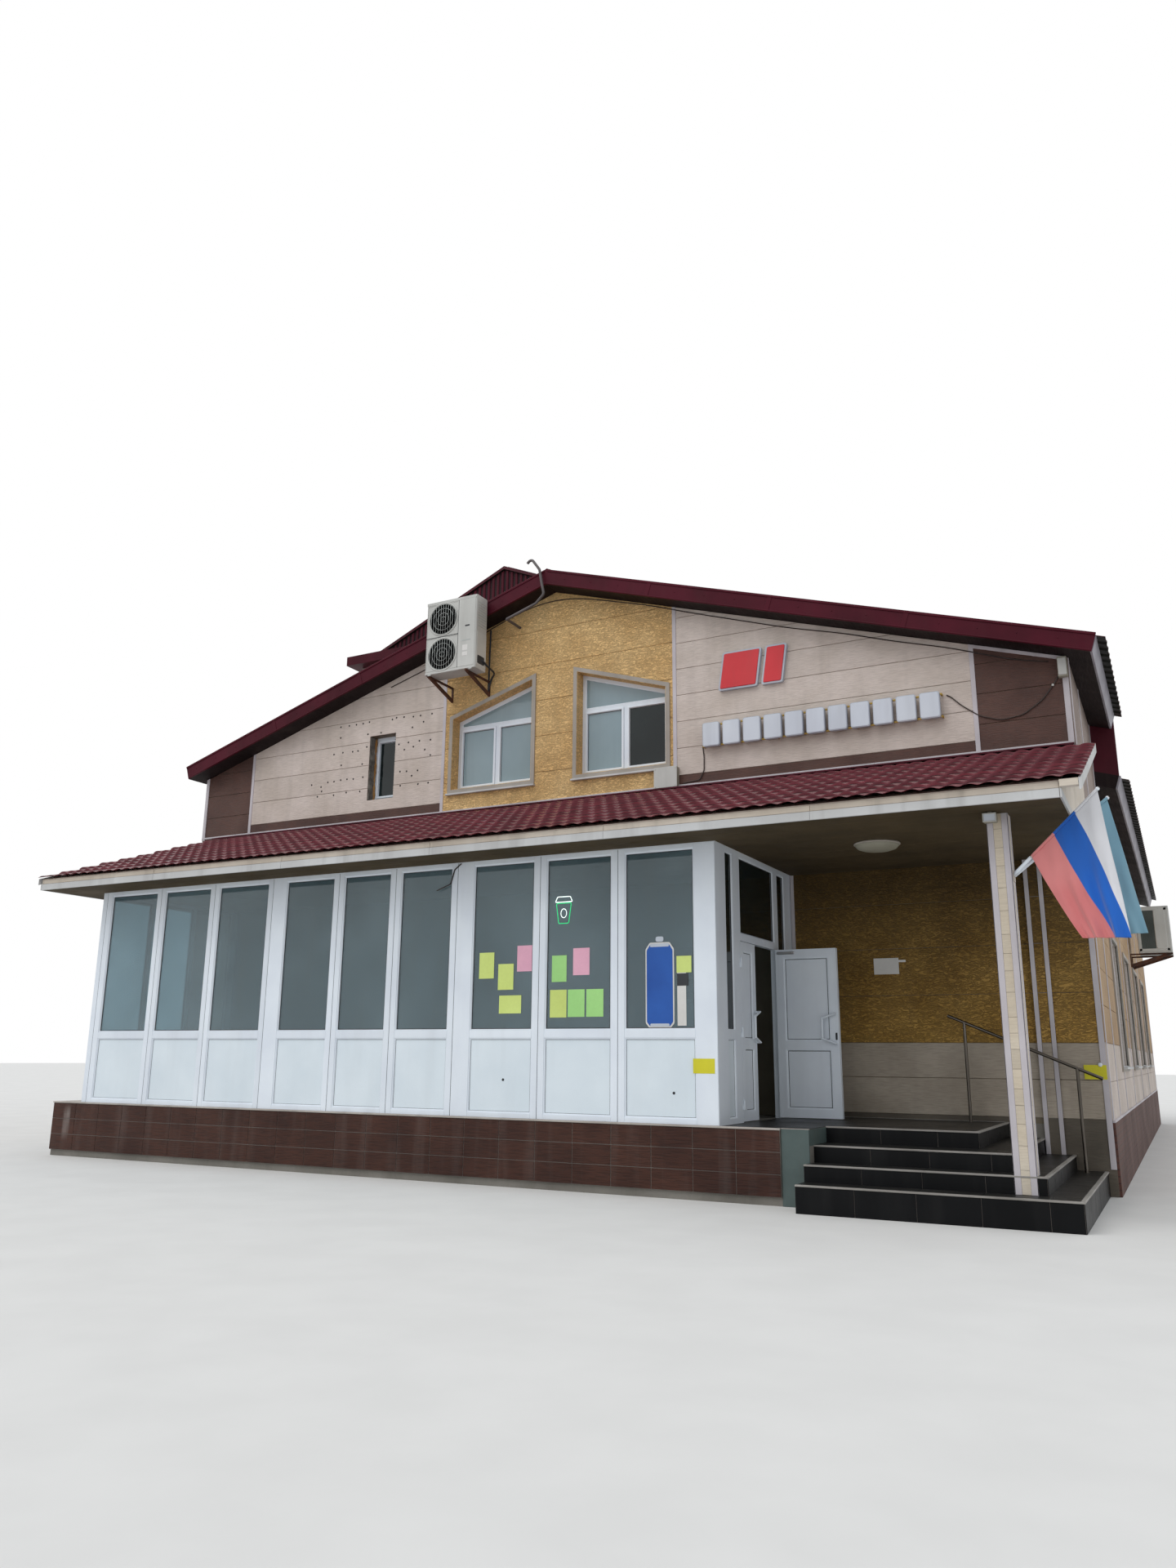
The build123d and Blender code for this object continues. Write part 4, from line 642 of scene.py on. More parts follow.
# Steel darkened to the dark surroundings it reflects: painted reflection.
HANDRAIL = plain("dark_reflection_steel", (112, 106, 99), (90, 85, 79), BRUSHED, depth=0.0001, rough=(0.22, 0.36),
                 metallic=1.0)
UNIT = plain("unit_case", (200, 200, 195), (186, 186, 181), 90.0, 0.04, 0.2, depth=0.0002, rough=(0.35, 0.5))
GUARD = plain("fan_guard", (196, 200, 196), (170, 174, 170), 90.0, 0.1, 0.1)
BLADE = plain("fan_blade", (86, 94, 91), (66, 73, 70), 50.0, rough=(0.4, 0.6))
RUST = plain("rusted_bracket", (66, 44, 38), (104, 62, 42), 40.0, 0.3, depth=0.0008, rough=(0.6, 0.85), patch=9.0)
PLATE = plain("sign_plate", (214, 220, 228), (204, 210, 220), 70.0, 0.03, depth=0.0002, rough=(0.25, 0.4))
PLATE_EDGE = plain("sign_edge", (196, 203, 212), (180, 188, 200), 70.0, 0.05)
RED = plain("red_face", (216, 52, 60), (202, 44, 52), 70.0, 0.04, depth=0.0002, rough=(0.25, 0.4))
RAIL = plain("yellow_rail", (204, 170, 72), (180, 146, 60), 60.0, 0.1, 0.25)
POLE = plain("painted_pole", (206, 196, 186), (180, 166, 152), 60.0, 0.15)
FLAG = Finish("striped_cloth", (226, 138, 136), (214, 122, 122), Grain.WEAVE, CLOTH, 0.0003, 0.1, (0.7, 0.85),
              sheen=0.3, streaks=0.08, tone=0.0, stripes=((0.345, (16, 98, 194)), (0.67, (226, 226, 230))))
REAR_FLAG = Finish("two_tone_cloth", (130, 172, 188), (116, 158, 176), Grain.WEAVE, CLOTH, 0.0003, 0.1, (0.7, 0.85),
                   sheen=0.3, streaks=0.08, tone=0.0, stripes=((0.30, (224, 230, 234)), (0.62, (122, 164, 182))))
FITTING = plain("lamp_body", (160, 156, 140), (144, 140, 124), 70.0, 0.05, 0.25)
CABLE = plain("black_cable", (64, 52, 46), (48, 40, 38), 90.0, 0.15)
CONDUIT = plain("grey_conduit", (104, 98, 98), (84, 78, 78), 90.0, 0.15)
PAPER = plain("white_paper", (226, 224, 220), (214, 211, 206), 30.0, 0.1, 0.1)
LIME = plain("lime_sheet", (216, 232, 134), (208, 224, 124), 30.0, 0.1, 0.0)
MINT = plain("mint_sheet", (172, 228, 140), (162, 218, 132), 30.0, 0.1, 0.0)
PINK = plain("pink_sheet", (238, 180, 200), (228, 170, 192), 30.0, 0.1, 0.0)
BLUE = plain("blue_panel", (34, 92, 178), (26, 78, 160), 30.0, 0.1, 0.0)
YELLOW = plain("yellow_plate", (222, 214, 44), (208, 200, 38), 60.0)
HOLE = plain("anchor_hole", (46, 40, 37), (34, 30, 28), 200.0)
PLASTER = plain("broken_plaster", (156, 152, 142), (112, 106, 99), (30.0, 30.0, 18.0), 0.55, depth=0.01,
                rough=(0.8, 0.95), patch=9.0)
FOAM = plain("fitting_foam", (184, 136, 72), (150, 104, 54), 60.0, 0.3, depth=0.003)
LIGHT_TUBE = plain("light_tube", (235, 245, 240), (225, 240, 232), 20.0, 0.1, 0.0, glow=1.2)
GREEN_TUBE = plain("green_tube", (40, 200, 120), (30, 190, 110), 20.0, 0.1, 0.0, glow=0.9)
PALE_FLOOR = plain("pale_floor", (226, 225, 222), (222, 221, 218), 3.0, 0.01, 0.0, depth=0.0, rough=(0.85, 0.95),
                   tone=0.0)

NODE_FINISHES: tuple[tuple[Finish, str], ...] = (
    (CONCRETE, "foundation ground_floor upper_floor"),
    (BEIGE, "right_wall left_wall rear_wall_left rear_wall_right raised_front_wall "
            "raised_right_wall"),
    (BACKING, "front_gable_wall front_wall_piers inner_door_lintel"),
    (TIMBER, "front_roof_deck_left front_roof_deck_right rear_roof_deck"),
    (SHEETING, "front_roof_sheet_left front_roof_sheet_right rear_roof_sheet raised_roof roof_step_wall"),
    (VALLEY, "pediments"),
    (BURGUNDY, "barge_boards ridge_cap raised_cornice"),
    (SHADED_EAVE, "eave_fascias"),
    (CASING, "window_casings"),
    (GROUT, "plinth_tiles step_1 step_2 step_3 landing columns"),
    (PVC, "porch_frame entrance_frames entrance_transom front_window_frames side_window_frames door_hinges "
          "door_leaf_active door_leaf_passive"),
    (INFILL, "porch_panels"),
    (GLASS, "porch_glass"),
    (SKY_REFLECTION_PANE, "window_glass"),
    (WAVE_TILE, "canopy_roof"),
    (CREAM, "canopy_box"),
    (HANDRAIL, "handrail"),
    (UNIT, "ac_units"),
    (RUST, "ac_brackets"),
    (RAIL, "sign_rails"),
    (PLATE_EDGE, "sign_plates sign_panels"),
    (POLE, "flagpoles"),
    (FLAG, "flag_front"),
    (REAR_FLAG, "flag_rear"),
    (FITTING, "wall_fittings"),
    (CONDUIT, "service_conduit"),
)


@dataclass(frozen=True)
class Slope:
    """A line that falls both ways from the middle: height - fall * |a|."""

    height: float
    fall: float = 0.0

    def at(self, a: Array | float) -> Array:
        """Its height at each place along."""
        return self.height - self.fall * np.abs(a)

    def crossings(self, z: float) -> tuple[float, ...]:
        """Where it passes height z."""
        reach = (self.height - z) / self.fall if self.fall else 0.0
        return (-reach, reach) if reach > 0 else ()


@dataclass(frozen=True)
class Opening:
    """An opening that boards stop at."""

    left: float
    right: float
    sill: float
    head: Slope


@dataclass
class BoardField:
    """A field of horizontal boards between two places along a wall, cut to the roof line and round openings."""

    face: Face
    left: float
    right: float
    joints: Sequence[float]
    limit: Slope = Slope(99.0)
    openings: Sequence[Opening] = ()
    thick: float = 0.012
    gap: float = 0.003

    def fill(self, shape: Shape) -> None:
        """Adds each row of boards, split where an opening or the roof line crosses it.

        Args:
            shape: Where the boards go.
        """
        for low, high in zip(self.joints[:-1], self.joints[1:]):
            low, high = low + self.gap, high - self.gap
            cuts = {self.left, self.right, 0.0, *self.limit.crossings(low), *self.limit.crossings(high)}
            for o in self.openings:
                cuts |= {o.left, o.right, *o.head.crossings(low), *o.head.crossings(high)}
            knots = sorted(c for c in cuts if self.left <= c <= self.right)
            for start, end in zip(knots[:-1], knots[1:]):
                if end - start > 0.012:
                    self._part(shape, start, end, low, high)

    def _part(self, shape: Shape, start: float, end: float, low: float, high: float) -> None:
        """Adds what is left of one row between two cuts.

        Args:
            shape: Where the boards go.
            start: The first cut.
            end: The second cut.
            low: The row's foot.
            high: The row's top.
        """
        at = np.array([start, end])
        parts = [(np.full(2, low), np.minimum(high, self.limit.at(at)))]
        for o in self.openings:
            if o.left < (start + end) / 2 < o.right:
                parts = [part for lo, hi in parts
                         for part in ((lo, np.minimum(hi, o.sill)), (np.maximum(lo, o.head.at(at)), hi))]
        for lo, hi in parts:
            if np.max(hi - lo) > 0.006:
                shape.board(self.face, at, lo, np.maximum(hi, lo), self.thick, 0.004,
                            ends=(start == self.left, end == self.right))


def rows(start: float, pitch: float, top: float) -> list[float]:
    """Joint heights from start by pitch, up to and just past top."""
    return list(np.arange(start, top + pitch, pitch))


def vertical_trim(shape: Shape, face: Face, middle: float, width: float, low: float, high: Slope,
                  thick: float = 0.022) -> None:
    """An upright trim strip, its head cut to a line.

    Args:
        shape: Where it goes.
        face: The wall's face.
        middle: Its middle along the face.
        width: Its width.
        low: Its foot.
        high: The line at its head.
        thick: How far it stands out.
    """
    sides = np.array([middle - width / 2, middle + width / 2])
    shape.board(face, sides, low, high.at(sides), thick, 0.003)


@dataclass
class GableCladding:
    """Boards, trims and worn details of the front gable over the canopy."""

    deck: Slope = Slope(DECK_UNDER - 0.004, FALL)
    seams: tuple[float, ...] = (-6.39, -2.13, 2.09, 6.40)
    board_pitch: float = 0.4165
    strip_top: float = 5.59
    strip_bay: float = 2.52
    window: tuple[float, float, float] = (0.378, 1.982, 5.75)
    small_window: tuple[float, float] = (-3.705, -3.145)
    holes: tuple[tuple[float, float], ...] = (
        (-4.38, 7.2), (-4.19, 7.2), (-4.03, 7.2), (-3.88, 7.2), (-3.74, 7.21), (-4.37, 7), (-3.76, 6.99),
        (-3.77, 6.76), (-3.47, 6.98), (-3.24, 7.19), (-3.15, 7.21), (-2.99, 7.2), (-2.79, 7.18), (-2.64, 7.18),
        (-2.4, 7.18), (-2.57, 7.06), (-2.8, 6.99), (-3.07, 6.72), (-2.95, 6.61), (-2.87, 6.73), (-2.76, 6.64),
        (-2.64, 6.73), (-2.52, 6.56), (-2.4, 6.45), (-2.41, 6.72), (-4.5, 6.71), (-4.3, 6.72), (-4.08, 6.71),
        (-3.96, 6.71), (-4.32, 6.49), (-3.85, 6.46), (-3.02, 6.23), (-2.88, 6.22), (-2.77, 6.13), (-2.65, 6.21),
        (-3, 5.98), (-2.63, 5.97), (-2.42, 5.97), (-4.75, 6.14), (-4.6, 6.21), (-4.46, 6.21), (-4.31, 6.22),
        (-4.17, 6.22), (-4.03, 6.21), (-3.82, 6.22), (-4.97, 6.2), (-4.73, 6.06), (-4.45, 5.96), (-4.17, 5.98),
        (-3.87, 5.97), (-4.82, 5.97))

    def build(self) -> None:
        """Builds the fields, trims, flashing and the worn window."""
        inner, outer, sill = self.window
        head = Slope(7.55 + 0.348 * FALL, FALL)
        windows = [Opening(-outer, -inner, sill, head), Opening(inner, outer, sill, head)]
        small = Opening(*self.small_window, 5.79, Slope(6.94))
        beige, ochre, brown = shapes(3)
        left, middle_left, middle_right, right = self.seams
        pitch, top = self.board_pitch, DECK_UNDER
        for start, end, openings in ((left, middle_left, (small,)), (middle_right, right, ())):
            BoardField(FRONT, start, end, rows(self.strip_top, pitch, top), self.deck, openings).fill(beige)
            BoardField(FRONT, start, end, (CANOPY_WALL, self.strip_top)).fill(brown)
        BoardField(FRONT, middle_left, middle_right, rows(5.31, 0.6, top), self.deck, windows, 0.014).fill(ochre)
        for start, end in ((-HALF_WIDTH, left), (right, HALF_WIDTH)):
            BoardField(FRONT, start, end, rows(CANOPY_WALL, pitch, 6.9), self.deck).fill(brown)
        BoardField(FRONT, -HALF_WIDTH, -7.15, rows(FLOOR, 0.4605, 4.9)).fill(brown)
        build_all("clad_wall", (beige, "gable_boards_beige", BEIGE), (ochre, "gable_boards_ochre", OCHRE),
                  (brown, "gable_boards_brown", BROWN))
        self._trims()
        self._worn_window()

    def _trims(self) -> None:
        """Upright trims at the seams and corners, the white line over the canopy and its flashing."""
        trims, flashing = shapes(2)
        for x in self.seams:
            vertical_trim(trims, FRONT, x, 0.06, CANOPY_WALL + 0.03, self.deck)
        for side in (-1, 1):
            vertical_trim(trims, FRONT, side * (HALF_WIDTH - 0.035), 0.07, CANOPY_WALL, self.deck, 0.026)
        run = np.array([6.43, 7.49])
        trims.board(FRONT, run, self.deck.at(run) - 0.05, self.deck.at(run), 0.024)
        for start in np.arange(-HALF_WIDTH, 7.5, self.strip_bay):
            trims.board(FRONT, (start + 0.001, start + self.strip_bay - 0.001), 5.415, 5.445, 0.03)
        section = np.array([(0.0, 5.39), (0.0, 5.426), (0.02, 5.426), (0.17, 5.384), (0.172, 5.364), (0.02, 5.402)])
        ends = np.array([-7.15, HALF_WIDTH])
        flashing.loft(FRONT.place(ends[:, None], section[None, :, 1], section[None, :, 0]))
        trims.build("gable_trims", TRIM, "eave_trim")
        flashing.build("canopy_flashing", BURGUNDY, "canopy_tile")

    def _worn_window(self) -> None:
        """Broken plaster and foam in the small window's reveal, and the anchor holes round it."""
        plaster, foam, holes = shapes(3)
        z, y = np.linspace(5.792, 6.938, 60)[:, None], np.linspace(0.0, 0.166, 12)[None]
        run = np.linspace(5.80, 6.93, 40)
        for x, side in zip(self.small_window, (1, -1)):
            lumps = 0.012 + 0.009 * np.sin(23 * z + 40 * y) * np.cos(61 * y + 9 * z) + 0.004 * np.sin(120 * z)
            points = np.stack(np.broadcast_arrays(x + side * lumps, y, z), -1)
            plaster.grid(points if side < 0 else points[:, ::-1])
            path = np.stack([np.full(40, x + side * 0.012), 0.150 + 0.006 * np.sin(11 * run), run], 1)
            foam.tube(path, 0.020 + 0.007 * np.sin(31 * run) * np.cos(17 * run), 8, reference=(1, 0, 0))
        for place in self.holes:
            holes.turned(FRONT, place, ((0.017, 0.010), (0.017, 0.0135), (0.006, 0.0138)), 8)
        plaster.build("window_reveal_plaster", PLASTER, "clad_wall", sheet=0.004)
        build_all("clad_wall", (foam, "window_reveal_foam", FOAM), (holes, "anchor_holes", HOLE))


@dataclass
class WallCladding:
    """Boards, brick base and trims of the porch wall, the two long sides, the rear and the raised block."""

    base_top: float = 0.82
    tan_foot: float = 1.73
    siding_foot: float = 4.43
    pitch: float = 0.427
    front_depth: float = 3.4
    raised_depth: float = 4.3
    raised_right: float = 0.36
    porch_low: tuple[float, ...] = (0.852, 1.297, 1.726)
    porch_high: tuple[float, ...] = (1.726, 2.32, 2.92, 3.50)

    def build(self) -> None:
        """Builds the porch wall, then the sides, the rear and the raised block."""
        self._porch_wall()
        beige, tan, siding, brick, trims = shapes(5)
        base, foot, pitch, back, split = (self.base_top, self.siding_foot, self.pitch, self.raised_depth,
                                          self.raised_right)
        holes = {face: [Opening(a - HALF_WINDOW, a + HALF_WINDOW, low, Slope(high)) for a, low, high in places]
                 for face, places in WINDOWS.items()}
        for face in (RIGHT, LEFT):
            brick.board(face, (0.0, DEPTH), 0.0, base, 0.03)
            BoardField(face, 0.0, DEPTH, (base, 1.275, self.tan_foot), openings=holes[face]).fill(beige)
            BoardField(face, 0.0, DEPTH, rows(self.tan_foot, 0.45, 4.0), openings=holes[face]).fill(tan)
        brick.board(REAR, (-HALF_WIDTH, HALF_WIDTH), 0.0, base, 0.03)
        eave, low_eave, raised = Slope(6.565), Slope(5.615), Slope(10.198)
        roof = Opening(-8.0, 0.5, -1.0, Slope(RIDGE + 0.01, FALL))
        for face, start, end, joints, limit, openings in (
                (RIGHT, 0.0, self.front_depth, rows(foot, pitch, 6.5), eave, ()),
                (RIGHT, self.front_depth, DEPTH, rows(foot, pitch, 5.6), low_eave, ()),
                (LEFT, 0.0, back, rows(foot, pitch, 6.5), eave, ()),
                (LEFT, back, DEPTH, rows(foot, pitch, 10.1), raised, holes[LEFT][4:]),
                (REAR, -HALF_WIDTH, split, rows(base, pitch, 10.1), raised, holes[REAR]),
                (REAR, split, HALF_WIDTH, rows(base, pitch, 7.9), Slope(REAR_UNDER, FALL), holes[REAR][:4]),
                (RAISED_FRONT, -HALF_WIDTH, split, rows(6.3, 0.39, 10.1), raised, (roof,)),
                (RAISED_RIGHT, back, DEPTH, rows(8.15, 0.41, 10.1), raised, ())):
            BoardField(face, start, end, joints, limit, openings).fill(siding)
        for face, top, places in ((RIGHT, 6.56, (0.035, 1.45, 3.365)), (RIGHT, 5.61, (6.0, 9.4, 13.0, DEPTH - 0.035)),
                                  (LEFT, 6.56, (0.035, 4.26)), (LEFT, 10.19, (4.335, 9.25, DEPTH - 0.035)),
                                  (REAR, 10.19, (-7.525, 0.3)), (REAR, 5.6, (7.525,))):
            for a in places:
                vertical_trim(trims, face, a, 0.06, base, Slope(top))
        for face in (RIGHT, LEFT):
            trims.board(face, (0.0, DEPTH), base, 0.845, 0.036)
        build_all("clad_wall", (beige, "side_boards_beige", BEIGE), (tan, "side_boards_tan", TAN))
        build_all("plain_wall", (siding, "side_siding", SIDING), (brick, "brick_base", BRICK))
        trims.build("side_trims", TRIM, "eave_trim")

    def _porch_wall(self) -> None:
        """Wall under the canopy: dark foot, two beige boards, ochre bark boards, and the corner's trims."""
        beige, ochre, foot, trims = shapes(4)
        bottom = self.porch_low[0]
        for start, end in ((3.79, 6.82), (7.03, HALF_WIDTH)):
            BoardField(FRONT, start, end, self.porch_low).fill(beige)
            BoardField(FRONT, start, end, (*self.porch_high, PORCH_TOP), thick=0.014).fill(ochre)
        foot.board(FRONT, (3.79, 6.41), 0.792, bottom, 0.018)
        foot.board(FRONT, (7.03, HALF_WIDTH), 0.0, bottom, 0.010)
        foot.board(PILASTER, (-0.055, 0.055), 0.445, bottom, 0.003, 0.001)
        for shape, joints in ((beige, self.porch_low), (ochre, (*self.porch_high, 3.97))):
            BoardField(PILASTER, -0.055, 0.055, joints, thick=0.003).fill(shape)
        vertical_trim(trims, FRONT, HALF_WIDTH - 0.032, 0.064, 0.30, Slope(PORCH_TOP), 0.026)
        vertical_trim(trims, FRONT, 3.815, 0.05, FLOOR + 0.01, Slope(PORCH_TOP), 0.02)
        # The beige and ochre boards under the canopy take the copies with painted shade.
        build_all("clad_wall", (beige, "porch_wall_beige", SHADED_BEIGE), (ochre, "porch_wall_ochre", SHADED_OCHRE),
                  (foot, "porch_wall_foot", FOOT))
        trims.build("porch_wall_trims", TRIM, "eave_trim")
        paper, plate, button = shapes(3)
        paper.plaque(FRONT, rectangle(4.886, 5.209, 2.594, 2.802), 0.002, 0.0005, 0.0145)
        paper.plaque(FRONT, rectangle(5.19, 5.30, 2.745, 2.775), 0.002, 0.0005, 0.0165)
        paper.build("wall_notice", PAPER)
        plate.plaque(FRONT, rectangle(7.308, 7.555, 1.307, 1.472), 0.017, 0.001, 0.0125)
        plate.plaque(PORCH, rectangle(3.485, 3.745, 1.345, 1.507), 0.004, 0.001, 0.004)
        plate.build("yellow_plates", YELLOW)
        button.turned(FRONT, (7.49, 1.475), ((0.024, 0.028), (0.024, 0.038), (0.016, 0.044), (0.004, 0.046)), 16)
        button.build("call_button", PVC)


@dataclass
class Canopy:
    """Wave-tiled canopy roof with its verge, fascia bands and soffit boards."""

    left: float = -7.16
    right: float = 7.80
    reach: float = 3.598
    waves: int = 80
    courses: int = 10
    step: float = 0.026
    swell: float = 0.020
    ends: tuple[float, float] = (-7.14, 7.60)
    front: float = -3.52
    edge: tuple[float, float] = (3.968, 4.060)
    end_joints: tuple[float, ...] = (4.064, 4.41, 4.76, 5.11, 5.36)
    bay: float = 2.456
    cover: float = 0.036

    def line(self, y: Array | float) -> Array:
        """Height of the roof's base plane at y: wall height + fall * y."""
        return CANOPY_WALL + CANOPY_FALL * np.asarray(y)

    def build(self) -> None:
        """Builds the tiles, verge, fascia and soffit."""
        self._tiles()
        self._verge()
        self._fascia()
        self._soffit()

    def _tiles(self) -> None:
        """Pressed sheet of wave tiles: base plane + step within each course + swell of a cosine across."""
        x = np.linspace(self.left, self.right, self.waves * 8 + 1)[:, None]
        course = np.repeat(np.arange(self.courses), 4)[None]
        part = np.tile([0.0, 0.06, 0.55, 1.0], self.courses)[None]
        # shade runs along each course into the map; past 0.9 the finish paints the dark line under the lap of the
        # course above: painted shadow.
        shade = np.tile([1.0, 0.8, 0.3, 0.45], self.courses)[None]
        y = -self.reach * (course + part) / self.courses
        phase = 2 * np.pi * (x - self.left) * self.waves / (self.right - self.left)
        wave = 0.5 - 0.5 * np.cos(phase + 0.45 * np.sin(phase))
        wobble = 0.003 * np.sin(2.1 * x + 1.7 * course) * part
        z = self.line(y) - 0.004 + self.step * part ** 1.5 + self.swell * wave * (0.55 + 0.45 * part) + wobble
        y = np.maximum(y - 0.010 * wave * part, -self.reach)
        tiles = Shape()
        tiles.grid(np.stack(np.broadcast_arrays(x, y, z), -1)[:, ::-1], smooth=False,
                   uv=np.stack(np.broadcast_arrays(shade, x * 0), -1)[:, ::-1])
        made = tiles.build("canopy_wave_tiles", WAVE_TILE, "canopy_tile", sheet=0.003)
        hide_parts("canopy_roof")

    def _verge(self) -> None:
        """White verge board under the tiles' right edge, and the soffit of that overhang."""
        verge, under = shapes(2)
        run = np.array([-3.575, -0.02])
        line = self.line(run)
        verge.board(sideways(7.775), run, line - 0.125, line - 0.006, 0.022)
        verge.board(sideways(self.left, -1), run, line - 0.10, line - 0.006, 0.012)
        verge.build("canopy_verge", EDGE, "canopy_board")
        section = np.array([(7.60, -0.06), (7.776, -0.06), (7.776, -0.04), (7.60, -0.04)])
        under.loft(np.stack(np.broadcast_arrays(section[:, 0], run[:, None], line[:, None] + section[:, 1]), -1))
        under.build("canopy_verge_soffit", TIMBER, "canopy_board")

    def _fascia(self) -> None:
        """Cream band over a white edge along the front, and boards on the canopy's two ends."""
        cream, white = shapes(2)
        front, joints = Face((0, self.front, 0)), self.end_joints
        cream.board(Face((0, -3.50, 0)), (7.602, 7.773), 4.066, 4.136, 0.080, 0.002)
        for start in np.arange(self.ends[0], 7.5, self.bay):
            cream.board(front, (start + 0.002, start + self.bay - 0.002), joints[0], 4.128, 0.010)
            white.board(front, (start + 0.001, start + self.bay - 0.001), *self.edge, 0.022)
        for x, side, thick in ((self.ends[1], 1, 0.016), (self.ends[0], -1, 0.010)):
            face = sideways(x, side)
            white.board(face, (-3.542, -0.004), *self.edge, thick)
            for low, high in zip(joints[:-1], joints[1:]):
                start, bend = (max(self.front, (z + self.cover - CANOPY_WALL) / CANOPY_FALL) for z in (low, high))
                for a, b, ends in ((start, bend, (True, False)), (bend, -0.004, (False, True))):
                    if b - a > 0.02:
                        top = np.minimum(high - 0.003, self.line(np.array([a, b])) - self.cover)
                        cream.board(face, (a, b), low, np.maximum(top, low), 0.008, ends=ends)
        build_all("canopy_board", (cream, "canopy_fascia_cream", CREAM), (white, "canopy_fascia_edge", EDGE))

    def _soffit(self) -> None:
        """Soffit boards round the porch: rows across the canopy with joints along."""
        soffit = Shape()
        for left, right, near, far in ((-7.13, 7.59, -3.50, -2.86), (3.80, 7.59, -2.86, -0.02),
                                       (-7.13, -6.56, -2.86, -0.02)):
            edges = np.linspace(near, far, max(1, round((far - near) / 0.40)) + 1)
            for low, high in zip(edges[:-1], edges[1:]):
                soffit.board(SOFFIT, (left, right), low + 0.002, high - 0.002, 0.008)
        soffit.build("canopy_soffit", CEILING, "canopy_board")


GLAZING_BEAD = ((0.0, -0.003), (0.0, -0.023), (0.020, -0.023), (0.020, -0.019), (0.012, -0.005), (0.004, -0.002))
GASKET = ((0.019, -0.0225), (0.019, -0.0165), (0.025, -0.0165), (0.027, -0.0225))
SHEET = (0.002, 0.0005)  # thickness and chamfer of what is stuck on a pane
# The gasket round each lower panel, kept as a thin dark ring for the shade line along the panel's edge: partly its
# gasket, partly painted shade.
PANEL_SEAL_AND_SHADE_LINE = ((0.019, -0.0225), (0.019, -0.018), (0.0225, -0.018), (0.0235, -0.0225))


